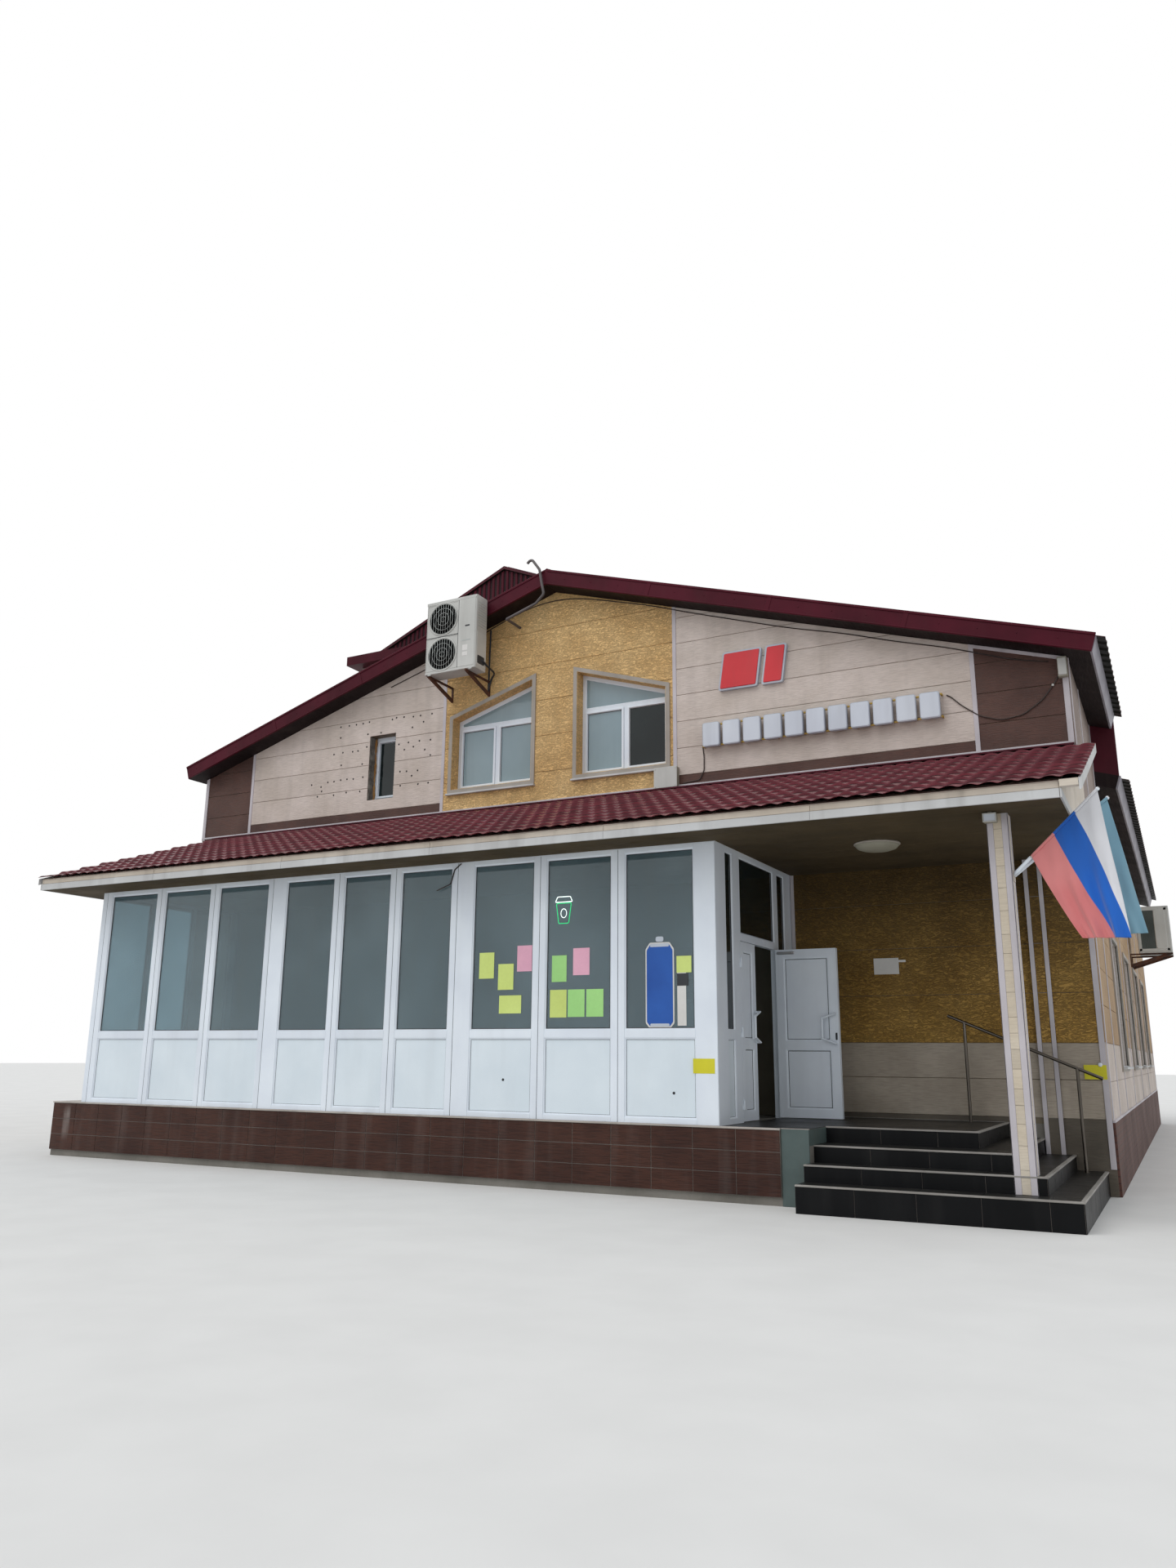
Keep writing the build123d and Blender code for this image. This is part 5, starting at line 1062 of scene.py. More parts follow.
@dataclass
class Porch:
    """Frame profiles, beads, gaskets, blank sheets and the light tube of the glazed porch."""

    mullions: tuple[float, ...] = (-5.248, -4.128, -2.902, -1.773, -0.796, 0.289, 1.454, 2.536)
    groups: tuple[float, ...] = (-2.902, 0.289)
    left: float = -6.545
    right: float = 3.784
    foot: float = 0.79
    panel: tuple[float, float] = (0.845, 1.735)
    light: tuple[float, float] = (1.825, 3.92)
    head: float = 3.965
    seam: float = 0.003

    def posts(self) -> list[tuple[float, float, float]]:
        """Left edge, seam and right edge of each post's face."""
        found = [(self.left + 0.004, self.left + 0.10, self.left + 0.210)]
        for x in self.mullions:
            half = 0.170 if x in self.groups else 0.0875
            found.append((x - half, x - half + 0.0875, x + half))
        return found + [(self.right - 0.264, self.right - 0.264, self.right - 0.004)]

    def build(self) -> None:
        """Builds the profiles, the beads, the entrance's painted-shade sheets and what is stuck on the panes."""
        profiles, beads, gaskets, panes = shapes(4)
        posts = self.posts()
        for start, seam, end in posts:
            for a, b in ((start, seam - self.seam), (seam + self.seam, end)) if seam > start else ((start, end),):
                profiles.board(PORCH, (a, b), self.foot, self.head, 0.004, 0.0025)
            if seam > start:
                gaskets.board(PORCH, (seam - self.seam, seam + self.seam), self.foot, self.head, 0.0015, 0.0005)
        for (_, _, start), (end, _, _) in zip(posts[:-1], posts[1:]):
            for low, high in ((self.foot, self.panel[0]), (self.panel[1], self.light[0]), (self.light[1], self.head)):
                profiles.board(PORCH, (start + 0.001, end - 0.001), low, high, 0.004, 0.0025)
            self._bead(PORCH, beads, gaskets, start, end)
        width = (-PORCH_Y - 0.07 - 0.12) / 3
        for i in range(3):
            middle, half = -0.12 - (i + 0.5) * width, (width - 0.06) / 2
            self._bead(PORCH_LEFT, beads, gaskets, middle - half, middle + half)
        for middle, half in ((-2.39, 0.12), (-0.44, 0.15)):
            self._bead(ENTRANCE, beads, gaskets, middle - half, middle + half)
        transom = rectangle(-2.028, -0.742, 2.977, self.light[1])
        beads.ring(ENTRANCE, transom, GLAZING_BEAD)
        gaskets.ring(ENTRANCE, transom, GASKET)
        # Near-black sheets on the entrance panes stand in for the dark inside seen through them: painted shade.
        for start, end, low in ((-2.0, -0.77, 3.005), (-2.482, -2.298, 1.853), (-0.562, -0.318, 1.853)):
            panes.plaque(sideways(self.right - 0.0225), rectangle(start, end, low, 3.892), 0.0015, 0.0005)
        panes.build("entrance_painted_shade_panes", PAINTED_SHADE_PANE, "clear_glass")
        build_all("white_frame", (profiles, "porch_profiles", PVC), (beads, "porch_beads", PVC),
                  (gaskets, "porch_gaskets", RUBBER))
        self._stickers()

    def _bead(self, face: Face, beads: Shape, gaskets: Shape, start: float, end: float) -> None:
        """Beads and gaskets of one bay: its light over its panel.

        Args:
            face: The side of the porch.
            beads: Where the beads go.
            gaskets: Where the gaskets go.
            start: The bay's left edge.
            end: The bay's right edge.
        """
        for (low, high), seal in ((self.light, GASKET), (self.panel, PANEL_SEAL_AND_SHADE_LINE)):
            gaskets.ring(face, rectangle(start, end, low, high), seal)
            beads.ring(face, rectangle(start, end, low, high), GLAZING_BEAD)

    def _stickers(self) -> None:
        """Blank coloured sheets and a plain panel on the panes, and a plain cup outline in light tube."""
        inside = Face((0, PORCH_Y + 0.0225, 0))
        sheets = (
            (LIME, ((0.565, 0.785, 2.465, 2.79), (0.85, 1.075, 2.32, 2.64), (0.875, 1.195, 2.03, 2.25),
                    (1.605, 1.835, 1.975, 2.305))),
            (MINT, ((1.625, 1.830, 2.40, 2.72), (1.852, 2.082, 1.98, 2.305), (2.105, 2.335, 1.98, 2.305))),
            (PINK, ((1.125, 1.345, 2.54, 2.86), (1.92, 2.145, 2.475, 2.80))),
            (PAPER, ((3.29, 3.40, 1.87, 2.62),)),
        )
        for finish, places in sheets:
            shape = Shape()
            for place in places:
                shape.plaque(inside, rectangle(*place), *SHEET)
            shape.build(f"pane_{finish.name}", finish)
        blue, metal, label, dark, border = shapes(5)
        can = np.array([(2.945, 1.865), (3.195, 1.865), (3.235, 1.915), (3.235, 2.735), (3.185, 2.81),
                        (2.955, 2.81), (2.905, 2.735), (2.905, 1.915)])
        middle = can.mean(0)
        border.plaque(inside, rounded((can - middle) * (1.1, 1.035) + middle, 0.015), *SHEET)
        border.build("pane_panel_border", PAPER)
        blue.plaque(inside, rounded(can, 0.012), *SHEET, 0.003)
        for low, high in ((1.862, 1.895), (2.775, 2.813)):
            metal.plaque(inside, rectangle(2.95, 3.19, low, high, 0.012), *SHEET, 0.0045)
        metal.plaque(inside, rectangle(3.02, 3.12, 2.835, 2.895, 0.025), *SHEET)
        build_all("", (blue, "pane_blue_panel", BLUE), (metal, "pane_silver_bands", PLATE_EDGE))
        label.plaque(inside, rectangle(3.285, 3.47, 2.47, 2.66), *SHEET, 0.003)
        label.build("pane_yellow_label", LIME)
        dark.plaque(inside, rectangle(3.29, 3.43, 2.32, 2.46), *SHEET, 0.003)
        for place in ((0.962, 1.236), (3.236, 1.126)):
            dark.turned(PORCH, place, ((0.016, -0.020), (0.016, -0.0165), (0.006, -0.016)), 12)
        dark.build("dark_label_and_plugs", RUBBER)
        green, white = shapes(2)
        cup = rounded(np.array([(1.71, 3.11), (1.85, 3.11), (1.885, 3.36), (1.675, 3.36)]), 0.02)
        lid = rounded(np.array([(1.66, 3.375), (1.90, 3.375), (1.87, 3.44), (1.69, 3.44)]), 0.015)
        turn = np.linspace(0, 2 * np.pi, 24, endpoint=False)
        bean = np.stack([1.78 + 0.04 * np.cos(turn), 3.235 + 0.055 * np.sin(turn)], 1)
        for outline, radius, shape in ((cup, 0.005, green), (lid, 0.005, white), (bean, 0.004, white)):
            shape.tube(inside.place(*outline.T, 0.0), radius, 6, True, (0, 1, 0))
        build_all("", (green, "cup_tube", GREEN_TUBE), (white, "cup_lid_tube", LIGHT_TUBE))


@dataclass
class DoorLeaf:
    """Beads, gaskets, lock, handle roses and stops of one door leaf."""

    body: str
    face: Face
    back: Face
    left: float
    right: float
    lock: float
    closer: tuple[float, float] | None = None

    def build(self) -> None:
        """Builds the leaf's dress on both faces."""
        beads, gaskets, lock = shapes(3)
        for face in (self.face, self.back):
            for low, high in ((0.905, 1.633), (1.733, 2.780)):
                outline = rectangle(self.left, self.right, low, high)
                beads.ring(face, outline, ((0.0, -0.004), (0.0, -0.020), (0.022, -0.020), (0.014, -0.006)))
                gaskets.ring(face, outline, ((0.021, -0.0205), (0.021, -0.016), (0.026, -0.016), (0.027, -0.0205)))
            plate = rectangle(self.lock - 0.013, self.lock + 0.013, 1.745, 1.835, 0.012)
            lock.plaque(face, plate, 0.004, 0.0015)
            lock.turned(face, (self.lock, 1.79), ((0.008, 0.004), (0.008, 0.009), (0.006, 0.010)), 12)
        beads.build(f"{self.body}_beads", PVC, "door_leaf", self.body)
        gaskets.build(f"{self.body}_gaskets", RUBBER, "door_leaf", self.body)
        lock.build(f"{self.body}_lock", RUBBER, "hinge", self.body)
        if self.closer:
            arm = Shape()
            arm.plaque(self.face, rectangle(*self.closer, 2.825, 2.855, 0.012), 0.03, 0.006)
            arm.turned(self.face, (self.closer[1] - 0.03, 2.84), ((0.010, 0.03), (0.010, 0.04), (0.006, 0.042)), 12)
            arm.build(f"{self.body}_closer", STEEL, "hinge", self.body)


@dataclass
class Stairs:
    """Black tiles, grout lines and worn nosings of the steps and landing, and the plinth's tiles."""

    tops: tuple[float, ...] = (0.270, 0.440, 0.615, 0.785)
    fronts: tuple[float, ...] = (-3.320, -3.000, -2.680, -2.200)
    rights: tuple[float, ...] = (7.460, 7.130, 6.800, 6.410)
    lefts: tuple[float, ...] = (4.770, 4.770, 4.790, 4.790)
    tile: float = 0.60
    nosing: float = 0.03
    plinth: tuple[float, float] = (-7.11, -2.874)

    def _tiled(self, shape: Shape, face: Face, left: float, right: float, low: float, high: float,
               across: float, up: float, joint: float = 0.002) -> None:
        """Tiles over a rectangle, with whole tiles first and the cut one last.

        Args:
            shape: Where the tiles go.
            face: The face they lie on.
            left: The rectangle's start along the face.
            right: Its end along the face.
            low: Its foot.
            high: Its top.
            across: A tile's width.
            up: A tile's height.
            joint: Half of a grout line's width.
        """
        for a in np.arange(left, right - 0.01, across):
            for u in np.arange(low, high - 0.01, up):
                shape.board(face, (a + joint, min(a + across, right) - joint), u + joint, min(u + up, high) - joint,
                            0.006, 0.0015)

    def build(self) -> None:
        """Builds the steps, then the plinth and the painted block."""
        tiles, nosing = shapes(2)
        foot, wide, tile = 0.0, self.nosing, self.tile
        for i, (top, front, right, left) in enumerate(zip(self.tops, self.fronts, self.rights, self.lefts)):
            riser, side, tread = Face((0, front, 0)), sideways(right), level(top)
            self._tiled(tiles, riser, left, right, foot, top, tile, 0.3)
            self._tiled(tiles, side, front, 0.0, foot, top, tile, 0.3)
            for face, a, b in ((riser, left, right + 0.012), (side, front - 0.012, -0.002)):
                nosing.board(face, (a, b), top - 0.010, top + 0.008, 0.013)
            nosing.board(tread, (left, right), front, front + wide, 0.008)
            nosing.board(tread, (right - wide, right), front + wide, -0.002, 0.008)
            if i < 3:
                back = self.fronts[i + 1]
                self._tiled(tiles, tread, left, right, front + wide, back, tile, 0.3)
                self._tiled(tiles, tread, self.rights[i + 1], right - wide, back, 0.0, 0.33, tile)
            foot = top
        nosing.board(FRONT, (3.90, 6.405), 0.786, 0.796, 0.032, 0.002)
        self._tiled(tiles, level(FLOOR), 4.79, 6.38, -2.17, 0.0, tile, tile)
        self._tiled(tiles, level(FLOOR), 3.80, 4.79, -2.84, 0.0, tile, tile)
        build_all("step_tile", (tiles, "step_tiles", STEP_TILE), (nosing, "step_nosings", NOSING))
        self._plinth()

    def _plinth(self) -> None:
        """Three rows of brown tiles under the porch, its pale ledge, the painted block and the foot strip."""
        tiles, ledge, block = shapes(3)
        left, front = self.plinth
        face, floor = Face((0, front, 0)), level(FLOOR)
        self._tiled(tiles, face, left, 4.48, 0.09, 0.770, 0.504, 0.2268, 0.0035)
        self._tiled(tiles, sideways(left, -1), front, 0.0, 0.09, 0.770, 0.479, 0.2268, 0.0035)
        ledge.board(face, (-7.122, 4.486), 0.770, 0.790, 0.016)
        ledge.board(floor, (left, 4.484), front, -2.849, 0.006)
        ledge.board(floor, (-7.122, -6.547), -2.848, -0.001, 0.006)
        ledge.board(floor, (4.486, 4.794), -2.856, -2.820, 0.006)
        block.board(PORCH, (4.484, 4.794), 0.0, 0.784, 0.012, 0.004)
        block.board(sideways(4.79), (-2.856, -2.2), 0.62, 0.784, 0.004)
        build_all("plinth_tile", (tiles, "plinth_tile_rows", PLINTH), (ledge, "plinth_ledge", LEDGE),
                  (block, "painted_block", BLOCK))


@dataclass
class Column:
    """White corner trims and a strip of cream tiles on the canopy's column and on the pilaster behind it."""

    middle: tuple[float, float] = (6.94, -2.905)
    half: float = 0.10
    foot: float = 0.276
    head: float = 3.972
    trim: float = 0.058

    def build(self) -> None:
        """Builds the trims and the tile strips, with joints at uneven heights."""
        trims, tiles = shapes(2)
        (x, y), half, inner = self.middle, self.half, self.half - self.trim
        heights = self.foot + np.cumsum(0.15 + 0.09 * np.random.default_rng(5).random(40))
        joints = [self.foot, *heights[heights < self.head - 0.08], self.head]
        for face in (Face((x, y - half, 0)), Face((x, y + half, 0), out=(0, 1, 0)), sideways(x + half, 1, y),
                     sideways(x - half, -1, y)):
            for side in (-1, 1):
                trims.board(face, sorted((side * (half + 0.006), side * inner)), self.foot, self.head, 0.006, 0.002)
            for low, high in zip(joints[:-1], joints[1:]):
                tiles.board(face, (0.001 - inner, inner - 0.001), low + 0.0015, high - 0.0015, 0.004, 0.0015)
        for side in (-1, 1):
            trims.board(PILASTER, sorted((side * 0.108, side * 0.058)), 0.445, 3.97, 0.008, 0.002)
        build_all("column_render", (trims, "column_trims", TRIM), (tiles, "column_tile_strip", COLUMN_TILE))


@dataclass
class Windows:
    """Sashes, gaskets, sills and casings of the main block's windows."""

    reveal: float = 0.17
    half: float = 0.792
    mullion: float = 0.029
    frame: float = 0.058

    def build(self) -> None:
        """Builds the front windows, then the long sides and the rear."""
        sashes, gaskets, sills, casings, lining, dark = shapes(6)
        reveal = np.array([(0.413, 5.787), (1.947, 5.787), (1.947, 7.011), (0.413, 7.492)])
        sky = np.array([(0.471, 6.909), (1.889, 6.909), (1.889, 6.968), (0.471, 7.413)])
        sash = ((0.002, 0.0), (0.002, 0.014), (0.010, 0.018), (0.034, 0.018), (0.040, -0.012), (0.040, -0.020))
        thin = ((0.0, -0.002), (0.0, -0.020), (0.012, -0.020), (0.008, -0.006))
        gasket = ((0.039, -0.020), (0.039, -0.013), (0.045, -0.013), (0.047, -0.020))
        front = Face((0, self.reveal, 0))
        for side in (-1, 1):
            for left, right in ((0.471, 1.151), (1.209, 1.889)):
                outline = rectangle(left, right, 5.845, 6.851) * (side, 1)
                sashes.ring(front, outline, sash)
                gaskets.ring(front, outline, gasket)
            sashes.ring(front, sky * (side, 1), thin)
            lining.ring(FRONT, reveal * (side, 1), ((0.0, 0.030), (0.0, -0.168), (0.006, -0.168), (0.006, 0.030)))
            sills.board(FRONT, sorted((side * 0.335, side * 2.025)), 5.694, 5.722, 0.075)
        sashes.ring(front, rectangle(-3.647, -3.203, 5.848, 6.882), sash)
        for face, windows in WINDOWS.items():
            inside = replace(face, origin=tuple(np.array(face.origin) - self.reveal * np.array(face.out)))
            for middle, low, high in windows:
                for a, b in ((-self.half, -self.mullion), (self.mullion, self.half)):
                    outline = rectangle(middle + a, middle + b, low + self.frame, high - self.frame)
                    sashes.ring(inside, outline, sash)
                    gaskets.ring(inside, outline, gasket)
                sills.board(face, (middle - 0.90, middle + 0.90), low - 0.03, low, 0.09)
                sills.board(inside, (middle - HALF_WINDOW, middle + HALF_WINDOW), low, low + 0.012, 0.20)
                if face is not RIGHT:
                    casings.ring(face, rectangle(middle - 0.91, middle + 0.91, low - 0.06, high + 0.06),
                                 ((0.0, 0.010), (0.0, 0.024), (0.06, 0.024), (0.06, 0.010)))
        # Near-black sheets behind the right sash and the small worn window stand in for the dark inside: painted
        # shade.
        for outline in (rectangle(1.254, 1.844, 5.890, 6.806), rectangle(-3.602, -3.248, 5.893, 6.837)):
            dark.plaque(Face((0, 0.187, 0)), outline, 0.002, 0.0005)
        dark.build("sash_painted_shade_pane", PAINTED_SHADE_PANE, "clear_glass")
        lining.build("window_reveal_lining", OCHRE, "clad_wall")
        build_all("white_frame", (sashes, "window_sashes", PVC), (gaskets, "window_gaskets", RUBBER))
        build_all("eave_trim", (sills, "window_sills", EDGE), (casings, "side_window_casings", TRIM))


@dataclass
class FanUnit:
    """Wire guards, blades, lid, seams and slats of an outdoor unit."""

    name: str
    face: Face
    fans: tuple[tuple[float, float], ...]
    proud: float = 0.008
    radius: float = 0.262

    def build(self) -> None:
        """Builds the guard rings and spokes, and three twisted blades a fan."""
        guard, blades = shapes(2)
        k = np.linspace(0, 2 * np.pi, 32, endpoint=False)
        for a, u in self.fans:
            for r in (0.045, 0.11, 0.19, self.radius):
                path = self.face.place(a + r * np.cos(k), u + r * np.sin(k), self.proud - 0.003)
                guard.tube(path, 0.003, 4, True, self.face.out)
            for x in np.linspace(-0.9, 0.9, 11) * self.radius:
                reach = math.sqrt(self.radius ** 2 - x ** 2)
                path = self.face.place(a + x, u + np.array([-reach, reach]), self.proud - 0.002)
                guard.tube(path, 0.0042, 4, False, self.face.out)
            blades.turned(self.face, (a, u), ((0.045, -0.05), (0.045, -0.012), (0.03, -0.008)), 20)
            for turn in (0.0, 2 * np.pi / 3, 4 * np.pi / 3):
                r = np.linspace(0.05, 0.245, 7)[:, None]
                along = np.array([0.0, 1.0, 1.0, 0.0])[None]
                angle = turn + 0.25 * r / 0.245 + (1.25 - 1.2 * r) * along
                deep = -0.070 + 0.045 * along + np.array([0.0, 0.0, 0.004, 0.004])[None]
                blades.loft(self.face.place(a + r * np.cos(angle), u + r * np.sin(angle), deep), smooth=True)
        build_all("ac_case", (guard, f"{self.name}_guards", GUARD), (blades, f"{self.name}_blades", BLADE))


@dataclass
class GableUnit(FanUnit):
    """The tall unit on the gable: two fans, a service cover, a lid and side slats."""

    left: float = -2.0445
    right: float = -1.0595
    low: float = 7.575
    high: float = 8.83

    def build(self) -> None:
        """Builds the fans, then the case's cover, lid, feet, slats and labels, and the pipes behind it."""
        super().build()
        case, lines, seams, labels = shapes(4)
        side, base = sideways(self.right), Face((0, 0, self.low), up=(0, 1, 0), out=(0, 0, -1))
        case.plaque(self.face, rectangle(-1.405, -1.085, 7.62, 8.78, 0.015), 0.005, 0.002)
        for low, high in ((7.625, 8.190), (8.206, 8.775)):
            case.ring(self.face, rectangle(-2.030, -1.412, low, high, 0.02),
                      ((0.0, 0.0), (0.0, 0.005), (0.008, 0.005), (0.008, 0.0)))
        case.board(self.face, (self.left + 0.004, self.right - 0.004), self.high - 0.05, self.high - 0.002, 0.006,
                   0.002)
        case.board(self.face, (self.left + 0.01, self.right - 0.01), self.low, self.low + 0.035, 0.005, 0.002)
        for fan in self.fans:
            case.turned(self.face, fan, ((0.292, 0.0), (0.290, 0.010), (0.276, 0.013), (0.268, 0.006), (0.268, 0.0)),
                        36)
        case.plaque(side, rectangle(-0.72, -0.45, 7.62, 8.20, 0.01), 0.005, 0.002)
        for z in np.arange(8.30, 8.72, 0.045):
            lines.board(side, (-0.70, -0.47), z, z + 0.012, 0.004, 0.001)
        lines.board(self.face, (-1.33, -1.16), 8.05, 8.075, 0.0065, 0.001)
        for x in (-1.95, -1.15):
            lines.board(self.face, (x - 0.03, x + 0.03), 7.552, 7.574, 0.01)
        lines.board(base, (-2.03, -1.075), -0.735, -0.445, 0.003, 0.001)
        seams.board(self.face, (-2.036, -1.412), 8.193, 8.203, 0.0055, 0.001)
        seams.board(self.face, (-1.412, -1.404), 7.62, 8.78, 0.0055, 0.001)
        seams.plaque(self.face, rectangle(-1.275, -1.185, 8.30, 8.325, 0.01), 0.008, 0.002)
        seams.plaque(side, rectangle(-0.70, -0.50, 7.66, 7.80, 0.03), 0.012)
        for radius, run in ((0.016, [(-1.07, -0.58, 7.74), (-1.04, -0.58, 7.74), (-1.03, -0.48, 7.69),
                                     (-1.08, -0.12, 7.66), (-1.20, -0.05, 7.60), (-1.25, -0.045, 7.40)]),
                            (0.014, [(-1.24, -0.035, 8.50), (-1.25, -0.035, 8.0), (-1.26, -0.035, 7.30)])):
            seams.tube(smooth(np.array(run)), radius, 8)
        for low, high in ((7.80, 7.865), (7.89, 7.985)):
            labels.plaque(self.face, rectangle(-1.315, -1.215, low, high), 0.0015, 0.0005, 0.005)
        build_all("ac_case", (seams, "gable_unit_seams_and_pipes", RUBBER), (case, "gable_unit_case", UNIT),
                  (lines, "gable_unit_slats", GUARD), (labels, "gable_unit_labels", PAPER))


@dataclass
class SideUnit(FanUnit):
    """The unit on the right wall: one fan, and a slatted coil opening in its end towards the front."""

    def build(self) -> None:
        """Builds the fan, then the end's frame and coil slats."""
        super().build()
        strips, slats = shapes(2)
        end = Face((0, 10.0, 0))
        strips.ring(end, rectangle(7.75, 8.31, 3.64, 4.505, 0.01),
                    ((0.0, 0.0), (0.0, 0.010), (0.055, 0.010), (0.055, 0.0)))
        strips.plaque(end, rectangle(8.06, 8.27, 3.68, 4.465, 0.06), 0.018, 0.012)
        slats.plaque(end, rectangle(7.80, 8.06, 3.69, 4.455), 0.003, 0.001)
        for x in np.linspace(7.82, 8.04, 11):
            slats.board(end, (x, x + 0.006), 3.695, 4.45, 0.008, 0.001)
        build_all("ac_case", (strips, "side_unit_end", UNIT), (slats, "side_unit_coil", BLADE))


@dataclass
class Sign:
    """Faces of the blank plates on the yellow rails, and red faces with a pale rim on the slanted panels."""

    left: float = 2.56
    right: float = 6.00
    count: int = 11
    middle: float = 6.12
    plate: tuple[float, float] = (0.122, 0.171)
    rails: tuple[float, float] = (5.965, 6.275)
    panels: tuple[tuple[float, float], ...] = ((2.815, 0.600), (3.480, 0.320))
    panel_low: float = 6.790
    panel_high: float = 7.375
    lean: float = 0.085
    rim: float = 0.026

    def build(self) -> None:
        """Builds the plates' faces, the red faces and the rails' fixings."""
        plates, red, fixings = shapes(3)
        pitch, (wide, tall) = (self.right - self.left) / self.count, self.plate
        for i in range(self.count):
            x = self.left + (i + 0.5) * pitch
            plates.plaque(Face((0, -0.15, 0)), rectangle(x - wide, x + wide, self.middle - tall, self.middle + tall,
                                                         0.028), 0.006)
        for x, w in self.panels:
            outline = rectangle(x, x + w, self.panel_low, self.panel_high) + ((0, 0), (0, 0), (self.lean, 0),
                                                                             (self.lean, 0))
            inner = mitred(outline, np.array([self.rim]))[:, 0]
            red.plaque(Face((0, -0.07, 0)), rounded(inner, 0.022), 0.012, 0.005)
        for x in np.linspace(self.left + 0.06, self.right - 0.06, 8):
            for z in self.rails:
                fixings.turned(Face((0, -0.09, 0)), (x, z), ((0.008, 0.0), (0.008, 0.004), (0.005, 0.006)), 8)
        plates.build("sign_plate_faces", PLATE, "sign_white")
        red.build("sign_red_faces", RED, "sign_red")
        fixings.build("sign_fixings", STEEL, "sign_rail")


@dataclass
class Flag:
    """A striped cloth hung by its edge along a pole: the four corners' bilinear surface plus folds."""

    name: str
    foot: Point
    tip: Point
    top: tuple[float, float]
    low: tuple[tuple[float, float], tuple[float, float]]
    finish: Finish
    node: str
    slot: str
    swell: float
    turned: float = 0.0

    def build(self) -> None:
        foot, tip = np.array(self.foot), np.array(self.tip)
        run = tip - foot
        length = np.hypot(run[0], run[1])
        along, rise = np.array([run[0], run[1], 0]) / length, run[2] / length
        aside = np.cross(along, (0, 0, 1))
        u, v = np.linspace(0, 1, 90)[:, None], np.linspace(0, 1, 110)[None]
        hang = 0.0122 * math.hypot(1, rise)
        a = self.top[0] + (self.top[1] - self.top[0]) * u
        upper = np.stack(np.broadcast_arrays(a, foot[2] + a * rise - hang), -1)
        low = np.array(self.low)
        lower = low[0] + (low[1] - low[0]) * u[..., None]
        spread = v[..., None] ** 0.92
        flat = upper * (1 - spread) + lower * spread
        flat[..., 1] -= 0.03 * np.sin(np.pi * v) * (1 - u)
        swing = np.sin(2 * np.pi * (2.3 * u + 0.35 * v) + 0.8) + 0.45 * np.sin(2 * np.pi * (4.9 * u - 0.5 * v))
        fold = self.swell * v ** 1.1 * swing + 0.004 * np.sin(30 * u + 9 * v)
        points = (np.array([foot[0], foot[1], 0]) + flat[..., :1] * along + fold[..., None] * aside
                  + flat[..., 1:] * np.array([0, 0, 1]))
        cloth = Shape()
        stripe = u - self.turned * v * np.minimum(1.0, u / 0.68)
        cloth.grid(points, uv=np.stack(np.broadcast_arrays(stripe, v), -1))
        made = cloth.build(self.name, self.finish, self.slot, sheet=0.0015)
        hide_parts(self.node)
        sleeve, cuff = shapes(2)
        ends = np.array(self.top) / length
        path = foot + np.linspace(ends[0], ends[1], 12)[:, None] * run
        sleeve.tube(path, 0.0155, 10)
        sleeve.maps = [np.stack([np.repeat(np.linspace(0, 1, 12), 10), np.zeros(120)], 1)]
        band = sleeve.build(f"{self.name}_sleeve", self.finish, self.slot)
        cuff.tube(foot + np.linspace(0.01, 0.22, 4)[:, None] * run, 0.0175, 12)
        cuff.turned(Face(tuple(tip - 0.02 * run / length), tuple(aside), tuple(np.cross(run, aside) / length ** 2),
                         tuple(run / np.linalg.norm(run))), (0, 0),
                    ((0.014, 0.0), (0.016, 0.012), (0.010, 0.024), (0.003, 0.027)), 12)
        cuff.build(f"{self.name}_cuff", PVC, "pole")


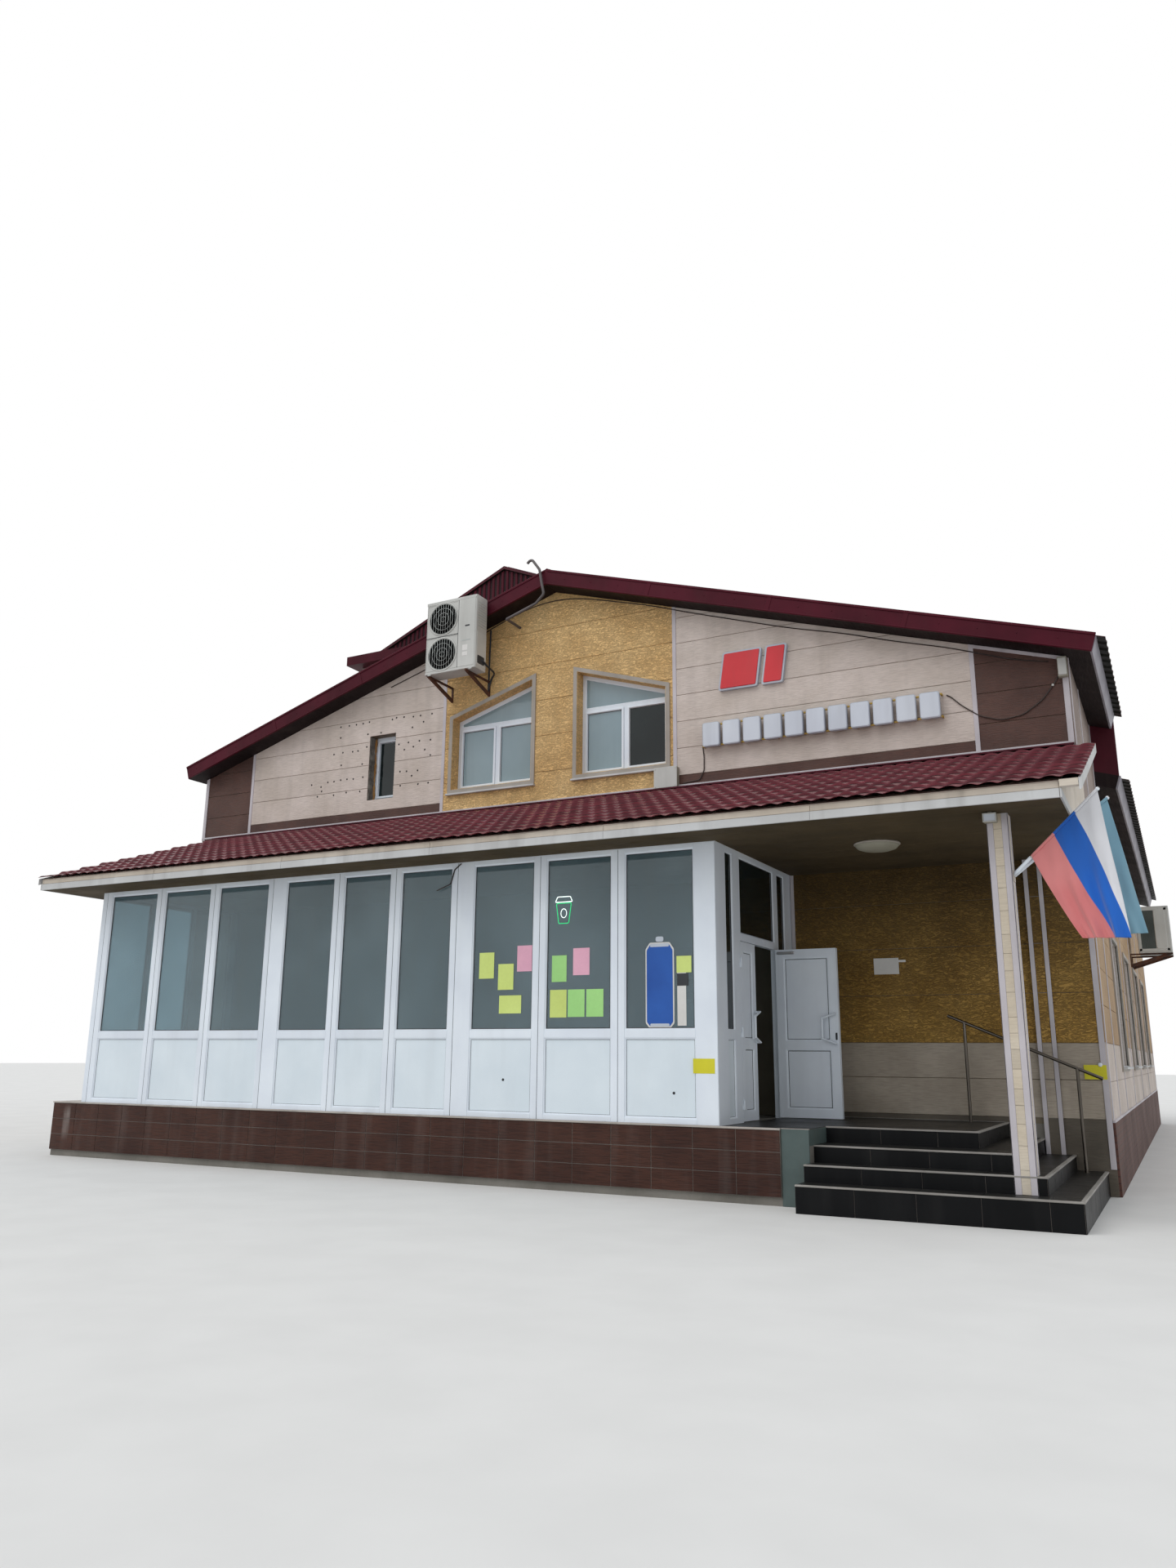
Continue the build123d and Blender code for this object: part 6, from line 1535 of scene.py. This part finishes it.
@dataclass
class RoofTrim:
    """Folded lips, laps and screws of the verge boards, and the raised roof's standing ribs."""

    laps: tuple[float, ...] = (1.9, 3.9, 5.9)
    reaches: tuple[tuple[int, float], ...] = ((-1, 7.757), (1, 7.945))
    verge: float = -0.37
    ridge: tuple[float, float] = (-3.6, 11.812)
    pitch: float = math.radians(23.4)
    ends: tuple[float, float] = (4.06, 18.24)
    rib_reach: float = 3.52
    rib_count: int = 41
    pediment: tuple[float, float] = (10.41, 3.07)
    pressing: float = 0.11656

    def build(self) -> None:
        """Builds the lips and laps on both slopes of the front verge, then the ribs."""
        lips, screws = shapes(2)
        sine, cosine = math.sin(PITCH), math.cos(PITCH)
        for side, length in self.reaches:
            face = Face((0, self.verge, RIDGE), (side * cosine, 0, -sine), (side * sine, 0, cosine))
            end = length / cosine
            lips.board(face, (0.03, end), -0.030, 0.006, 0.012, 0.004)
            lips.board(face, (0.07, end - 0.02), -0.238, -0.220, 0.009)
            for a in self.laps:
                lips.board(face, (a, a + 0.07), -0.236, 0.004, 0.0065, 0.002)
            for a in np.arange(0.4, end - 0.1, 0.5):
                screws.turned(face, (a, -0.12), ((0.009, 0.0), (0.009, 0.003), (0.005, 0.0055)), 8)
        self._ribs()
        build_all("roof_sheet", (lips, "verge_lips", BURGUNDY), (screws, "verge_screws", BURGUNDY))

    def _ribs(self) -> None:
        """Ribs down the raised roof, and ribs pressed into its two pediments."""
        ribs, pressed = shapes(2)
        sine, cosine, slope = math.sin(self.pitch), math.cos(self.pitch), math.tan(self.pitch)
        (x, z), (foot, half) = self.ridge, self.pediment
        for side in (-1, 1):
            face = Face((x, 0, z), (0, side, 0), (-side * cosine, 0, sine), (side * sine, 0, cosine))
            for y in np.linspace(*self.ends, self.rib_count):
                ribs.board(face, sorted((side * y - 0.022, side * y + 0.022)), -self.rib_reach, -0.07, 0.018, 0.009)
        for y, out in zip(self.ends, (-1, 1)):
            face = Face((x, y, foot), (-out, 0, 0), (0, 0, 1), (0, out, 0))
            for middle in np.arange(-25.5, 26) * self.pressing:
                edges = np.array([middle - 0.032, middle + 0.032])
                pressed.board(face, edges, 0.002, (half - np.abs(edges)) * slope, 0.02, 0.012)
        build_all("roof_sheet", (ribs, "raised_roof_ribs", SHEETING), (pressed, "pediment_ribs", BURGUNDY))


def smooth(points: Array, count: int = 40) -> Array:
    """A bent line through points: straight runs resampled, then each place averaged with its neighbours.

    Args:
        points: Its corners, n by 3.
        count: How many places to return.

    Returns:
        The places, count by 3.
    """
    along = np.concatenate([[0.0], np.cumsum(np.linalg.norm(np.diff(points, axis=0), axis=1))])
    fine = np.stack([np.interp(np.linspace(0, along[-1], count), along, points[:, i]) for i in range(3)], 1)
    padded = np.concatenate([np.repeat(fine[:1], 3, 0), fine, np.repeat(fine[-1:], 3, 0)])
    return np.stack([np.convolve(padded[:, i], np.full(7, 1 / 7), "valid") for i in range(3)], 1)


@dataclass
class Cables:
    """Thin cables clipped to the gable and to the porch, each as places along and up the wall."""

    gable: tuple[tuple[tuple[float, float], ...], ...] = (
        ((-3.40, 7.75), (-2.944, 7.886), (-2.589, 7.988), (-2.0, 8.16), (-1.253, 8.515), (-0.772, 8.665),
         (-0.30, 8.80), (0.169, 8.785), (0.625, 8.713), (0.96, 8.58), (1.503, 8.45), (1.978, 8.27), (2.6, 8.05),
         (3.344, 7.80), (4.001, 7.575), (4.712, 7.39), (5.386, 7.144), (6.035, 6.96), (6.38, 6.841),
         (6.782, 6.66), (7.177, 6.55), (7.45, 6.52)),
        ((6.03, 6.27), (6.08, 6.258), (6.224, 6.1), (6.453, 5.917), (6.719, 5.828), (6.989, 5.865),
         (7.233, 6.029), (7.415, 6.26), (7.47, 6.38)),
        ((2.535, 6.0), (2.555, 5.824), (2.551, 5.618), (2.48, 5.485), (2.20, 5.46)))
    porch: tuple[tuple[float, float], ...] = ((0.26, 3.96), (0.155, 3.884), (0.10, 3.70), (-0.118, 3.625))

    def build(self) -> None:
        """Builds the cables as thin round lines just off the boards."""
        cables = Shape()
        for run, y, radius in [(run, -0.024, 0.008) for run in self.gable] + [(self.porch, -2.856, 0.008)]:
            places = np.array(run)
            points = np.stack([places[:, 0], np.full(len(run), y), places[:, 1]], 1)
            cables.tube(smooth(points, 90), radius, 6)
        cables.build("wall_cables", CABLE, "conduit")


@dataclass
class Fittings:
    """Lamp under the canopy, flood lamp, corner lamp and the junction box's lid."""

    lamp: tuple[float, float] = (5.45, -1.90)
    lamp_ring: float = 0.256
    flood_lamp: Face = Face((6.89, -3.1625, 0))
    junction_box: tuple[float, float] = (1.97, -0.11)
    corner_lamp: Face = Face((7.505, -0.11, 0))

    def build(self) -> None:
        """Builds the dome and its ring, the lamps' fronts and the lid."""
        dome, ring, box, glass = shapes(4)
        dome.turned(SOFFIT, self.lamp, ((0.252, 0.008), (0.250, 0.040), (0.222, 0.070), (0.160, 0.090),
                                        (0.080, 0.098), (0.004, 0.100)), 40)
        (x, y), k = self.lamp, np.linspace(0, 2 * np.pi, 48, endpoint=False)
        ring.tube(SOFFIT.place(x + self.lamp_ring * np.cos(k), y + self.lamp_ring * np.sin(k), 0.020), 0.012, 8, True)
        box.ring(self.flood_lamp, rectangle(-0.066, 0.066, 3.861, 3.953),
                 ((0.0, -0.004), (0.0, 0.010), (0.007, 0.013), (0.012, 0.003)))
        glass.plaque(self.flood_lamp, rectangle(-0.054, 0.054, 3.873, 3.941), 0.004, 0.001)
        x, y = self.junction_box
        box.plaque(Face((x, y, 0)), rectangle(-0.186, 0.186, 5.40, 5.716, 0.012), 0.014)
        for place in ((-0.16, 5.425), (0.16, 5.425), (-0.16, 5.69), (0.16, 5.69)):
            box.turned(Face((x, y - 0.014, 0)), place, ((0.009, 0.0), (0.009, 0.003), (0.006, 0.004)), 10)
        box.plaque(self.corner_lamp, rectangle(-0.05, 0.05, 6.30, 6.53, 0.02), 0.012, 0.005)
        box.turned(FRONT, (7.37, 6.21), ((0.016, 0.012), (0.016, 0.03), (0.01, 0.034)), 12)
        build_all("fitting", (dome, "soffit_lamp_dome", FITTING), (ring, "soffit_lamp_ring", CASING),
                  (box, "fitting_fronts", UNIT), (glass, "flood_lamp_glass", PLATE))


@dataclass
class Studio:
    """Pale floor, white background, soft light and the camera at the photographed viewing angle."""

    eye: Point = (8.4576, -14.844, 1.506)
    right: Point = (0.885016, 0.465488, 0.008263)
    down: Point = (-0.103837, 0.214661, -0.971153)
    ahead: Point = (-0.453834, 0.858628, 0.238313)
    lens: float = 25.61

    def camera(self) -> None:
        """Sets the camera from its eye point and its three axes."""
        data = bpy.data.cameras.new("camera")
        data.sensor_width, data.lens, data.sensor_fit = 36.0, self.lens, "AUTO"
        data.clip_start, data.clip_end = 0.1, 500.0
        camera = bpy.data.objects.new("camera", data)
        axes = Matrix([self.right, [-x for x in self.down], [-x for x in self.ahead]]).transposed()
        camera.matrix_world = Matrix.Translation(Vector(self.eye)) @ axes.to_4x4()
        bpy.context.scene.collection.objects.link(camera)
        bpy.context.scene.camera = camera

    def world(self) -> None:
        """White where seen, mirrored or looked through, and a soft even sky as light."""
        world = bpy.data.worlds.new("studio")
        bpy.context.scene.world = world
        graph = Graph(world)
        nodes = graph.tree.nodes
        light = nodes["Background"]
        light.inputs[0].default_value, light.inputs[1].default_value = (0.93, 0.96, 1.0, 1.0), 0.78
        seen = graph.node("ShaderNodeBackground", {0: (1.0, 1.0, 1.0, 1.0), 1: 1.0})
        path = graph.node("ShaderNodeLightPath").outputs
        total = path["Is Camera Ray"]
        for name in ("Is Glossy Ray", "Is Transmission Ray"):
            total = graph.calc("MAXIMUM", total, path[name])
        shader = graph.node("ShaderNodeMixShader", {0: total, 1: light.outputs[0], 2: seen.outputs[0]})
        graph.tree.links.new(shader.outputs[0], nodes["World Output"].inputs[0])

    def lamp(self) -> None:
        """One wide soft lamp, high at the front left."""
        data = bpy.data.lights.new("soft_key", "SUN")
        data.energy, data.angle = 1.0, math.radians(50)
        lamp = bpy.data.objects.new("soft_key", data)
        lamp.matrix_world = Vector((-0.35, -0.65, 1.0)).to_track_quat("Z", "Y").to_matrix().to_4x4()
        bpy.context.scene.collection.objects.link(lamp)

    def floor(self) -> None:
        """A wide pale floor at the foot of the building."""
        edge = np.linspace(-150, 150, 4)
        x, y = np.meshgrid(edge, edge, indexing="ij")
        shape = Shape()
        shape.grid(np.stack([x, y, np.zeros_like(x)], -1), smooth=False)
        shape.build("studio_floor", PALE_FLOOR)

    def build(self) -> None:
        """Sets the view transform and builds the studio."""
        bpy.context.scene.view_settings.view_transform = "Standard"
        self.camera()
        self.world()
        self.lamp()
        self.floor()


def dress_nodes() -> None:
    """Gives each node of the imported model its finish."""
    for finish, names in NODE_FINISHES:
        for name in names.split():
            node = frame["nodes"][name]
            for place in node.material_slots:
                place.material = finish.material()
            if not node.material_slots:
                node.data.materials.append(finish.material())
            LOG.info("%s: %s", name, finish.name)


def corners(bounds: tuple[Vector, Vector]) -> list[list[float]]:
    """A box's two corners as plain lists."""
    return [[round(x, 5) for x in corner] for corner in bounds]


def main() -> None:
    """Builds the looks in order."""
    logging.basicConfig(level=logging.INFO, format="%(name)s %(message)s")
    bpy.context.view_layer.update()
    Studio().build()
    dress_nodes()
    for assembly in (
            GableCladding(), WallCladding(), Canopy(), Porch(),
            DoorLeaf("active_leaf", Face((0, -0.794, 0)), Face((0, -0.724, 0), out=(0, 1, 0)), 3.908, 4.494, 4.565,
                     (3.83, 4.06)),
            DoorLeaf("passive_leaf", ENTRANCE, sideways(3.714, -1), -1.946, -1.636, -1.566),
            Stairs(), Column(), Windows(),
            GableUnit("gable_unit", Face((0, -0.75, 0)), ((-1.713, 7.892), (-1.713, 8.504))),
            SideUnit("side_unit", sideways(8.34), ((10.45, 4.0725),), -0.004),
            Sign(),
            Flag("flag_front_cloth", (7.04, -2.935, 3.33), (7.93, -3.30, 4.08), (0.224, 0.946),
                 ((0.663, 2.655), (1.115, 2.625)), FLAG, "flag_front", "flag_cloth", 0.030, 0.34),
            Flag("flag_rear_cloth", (7.04, -2.875, 3.33), (7.98, -2.60, 4.13), (0.224, 0.965),
                 ((0.660, 2.715), (1.216, 2.745)), REAR_FLAG, "flag_rear", "flag_cloth_rear", 0.020),
            RoofTrim(), Cables(), Fittings()):
        assembly.build()


if __name__ == "__main__":
    main()
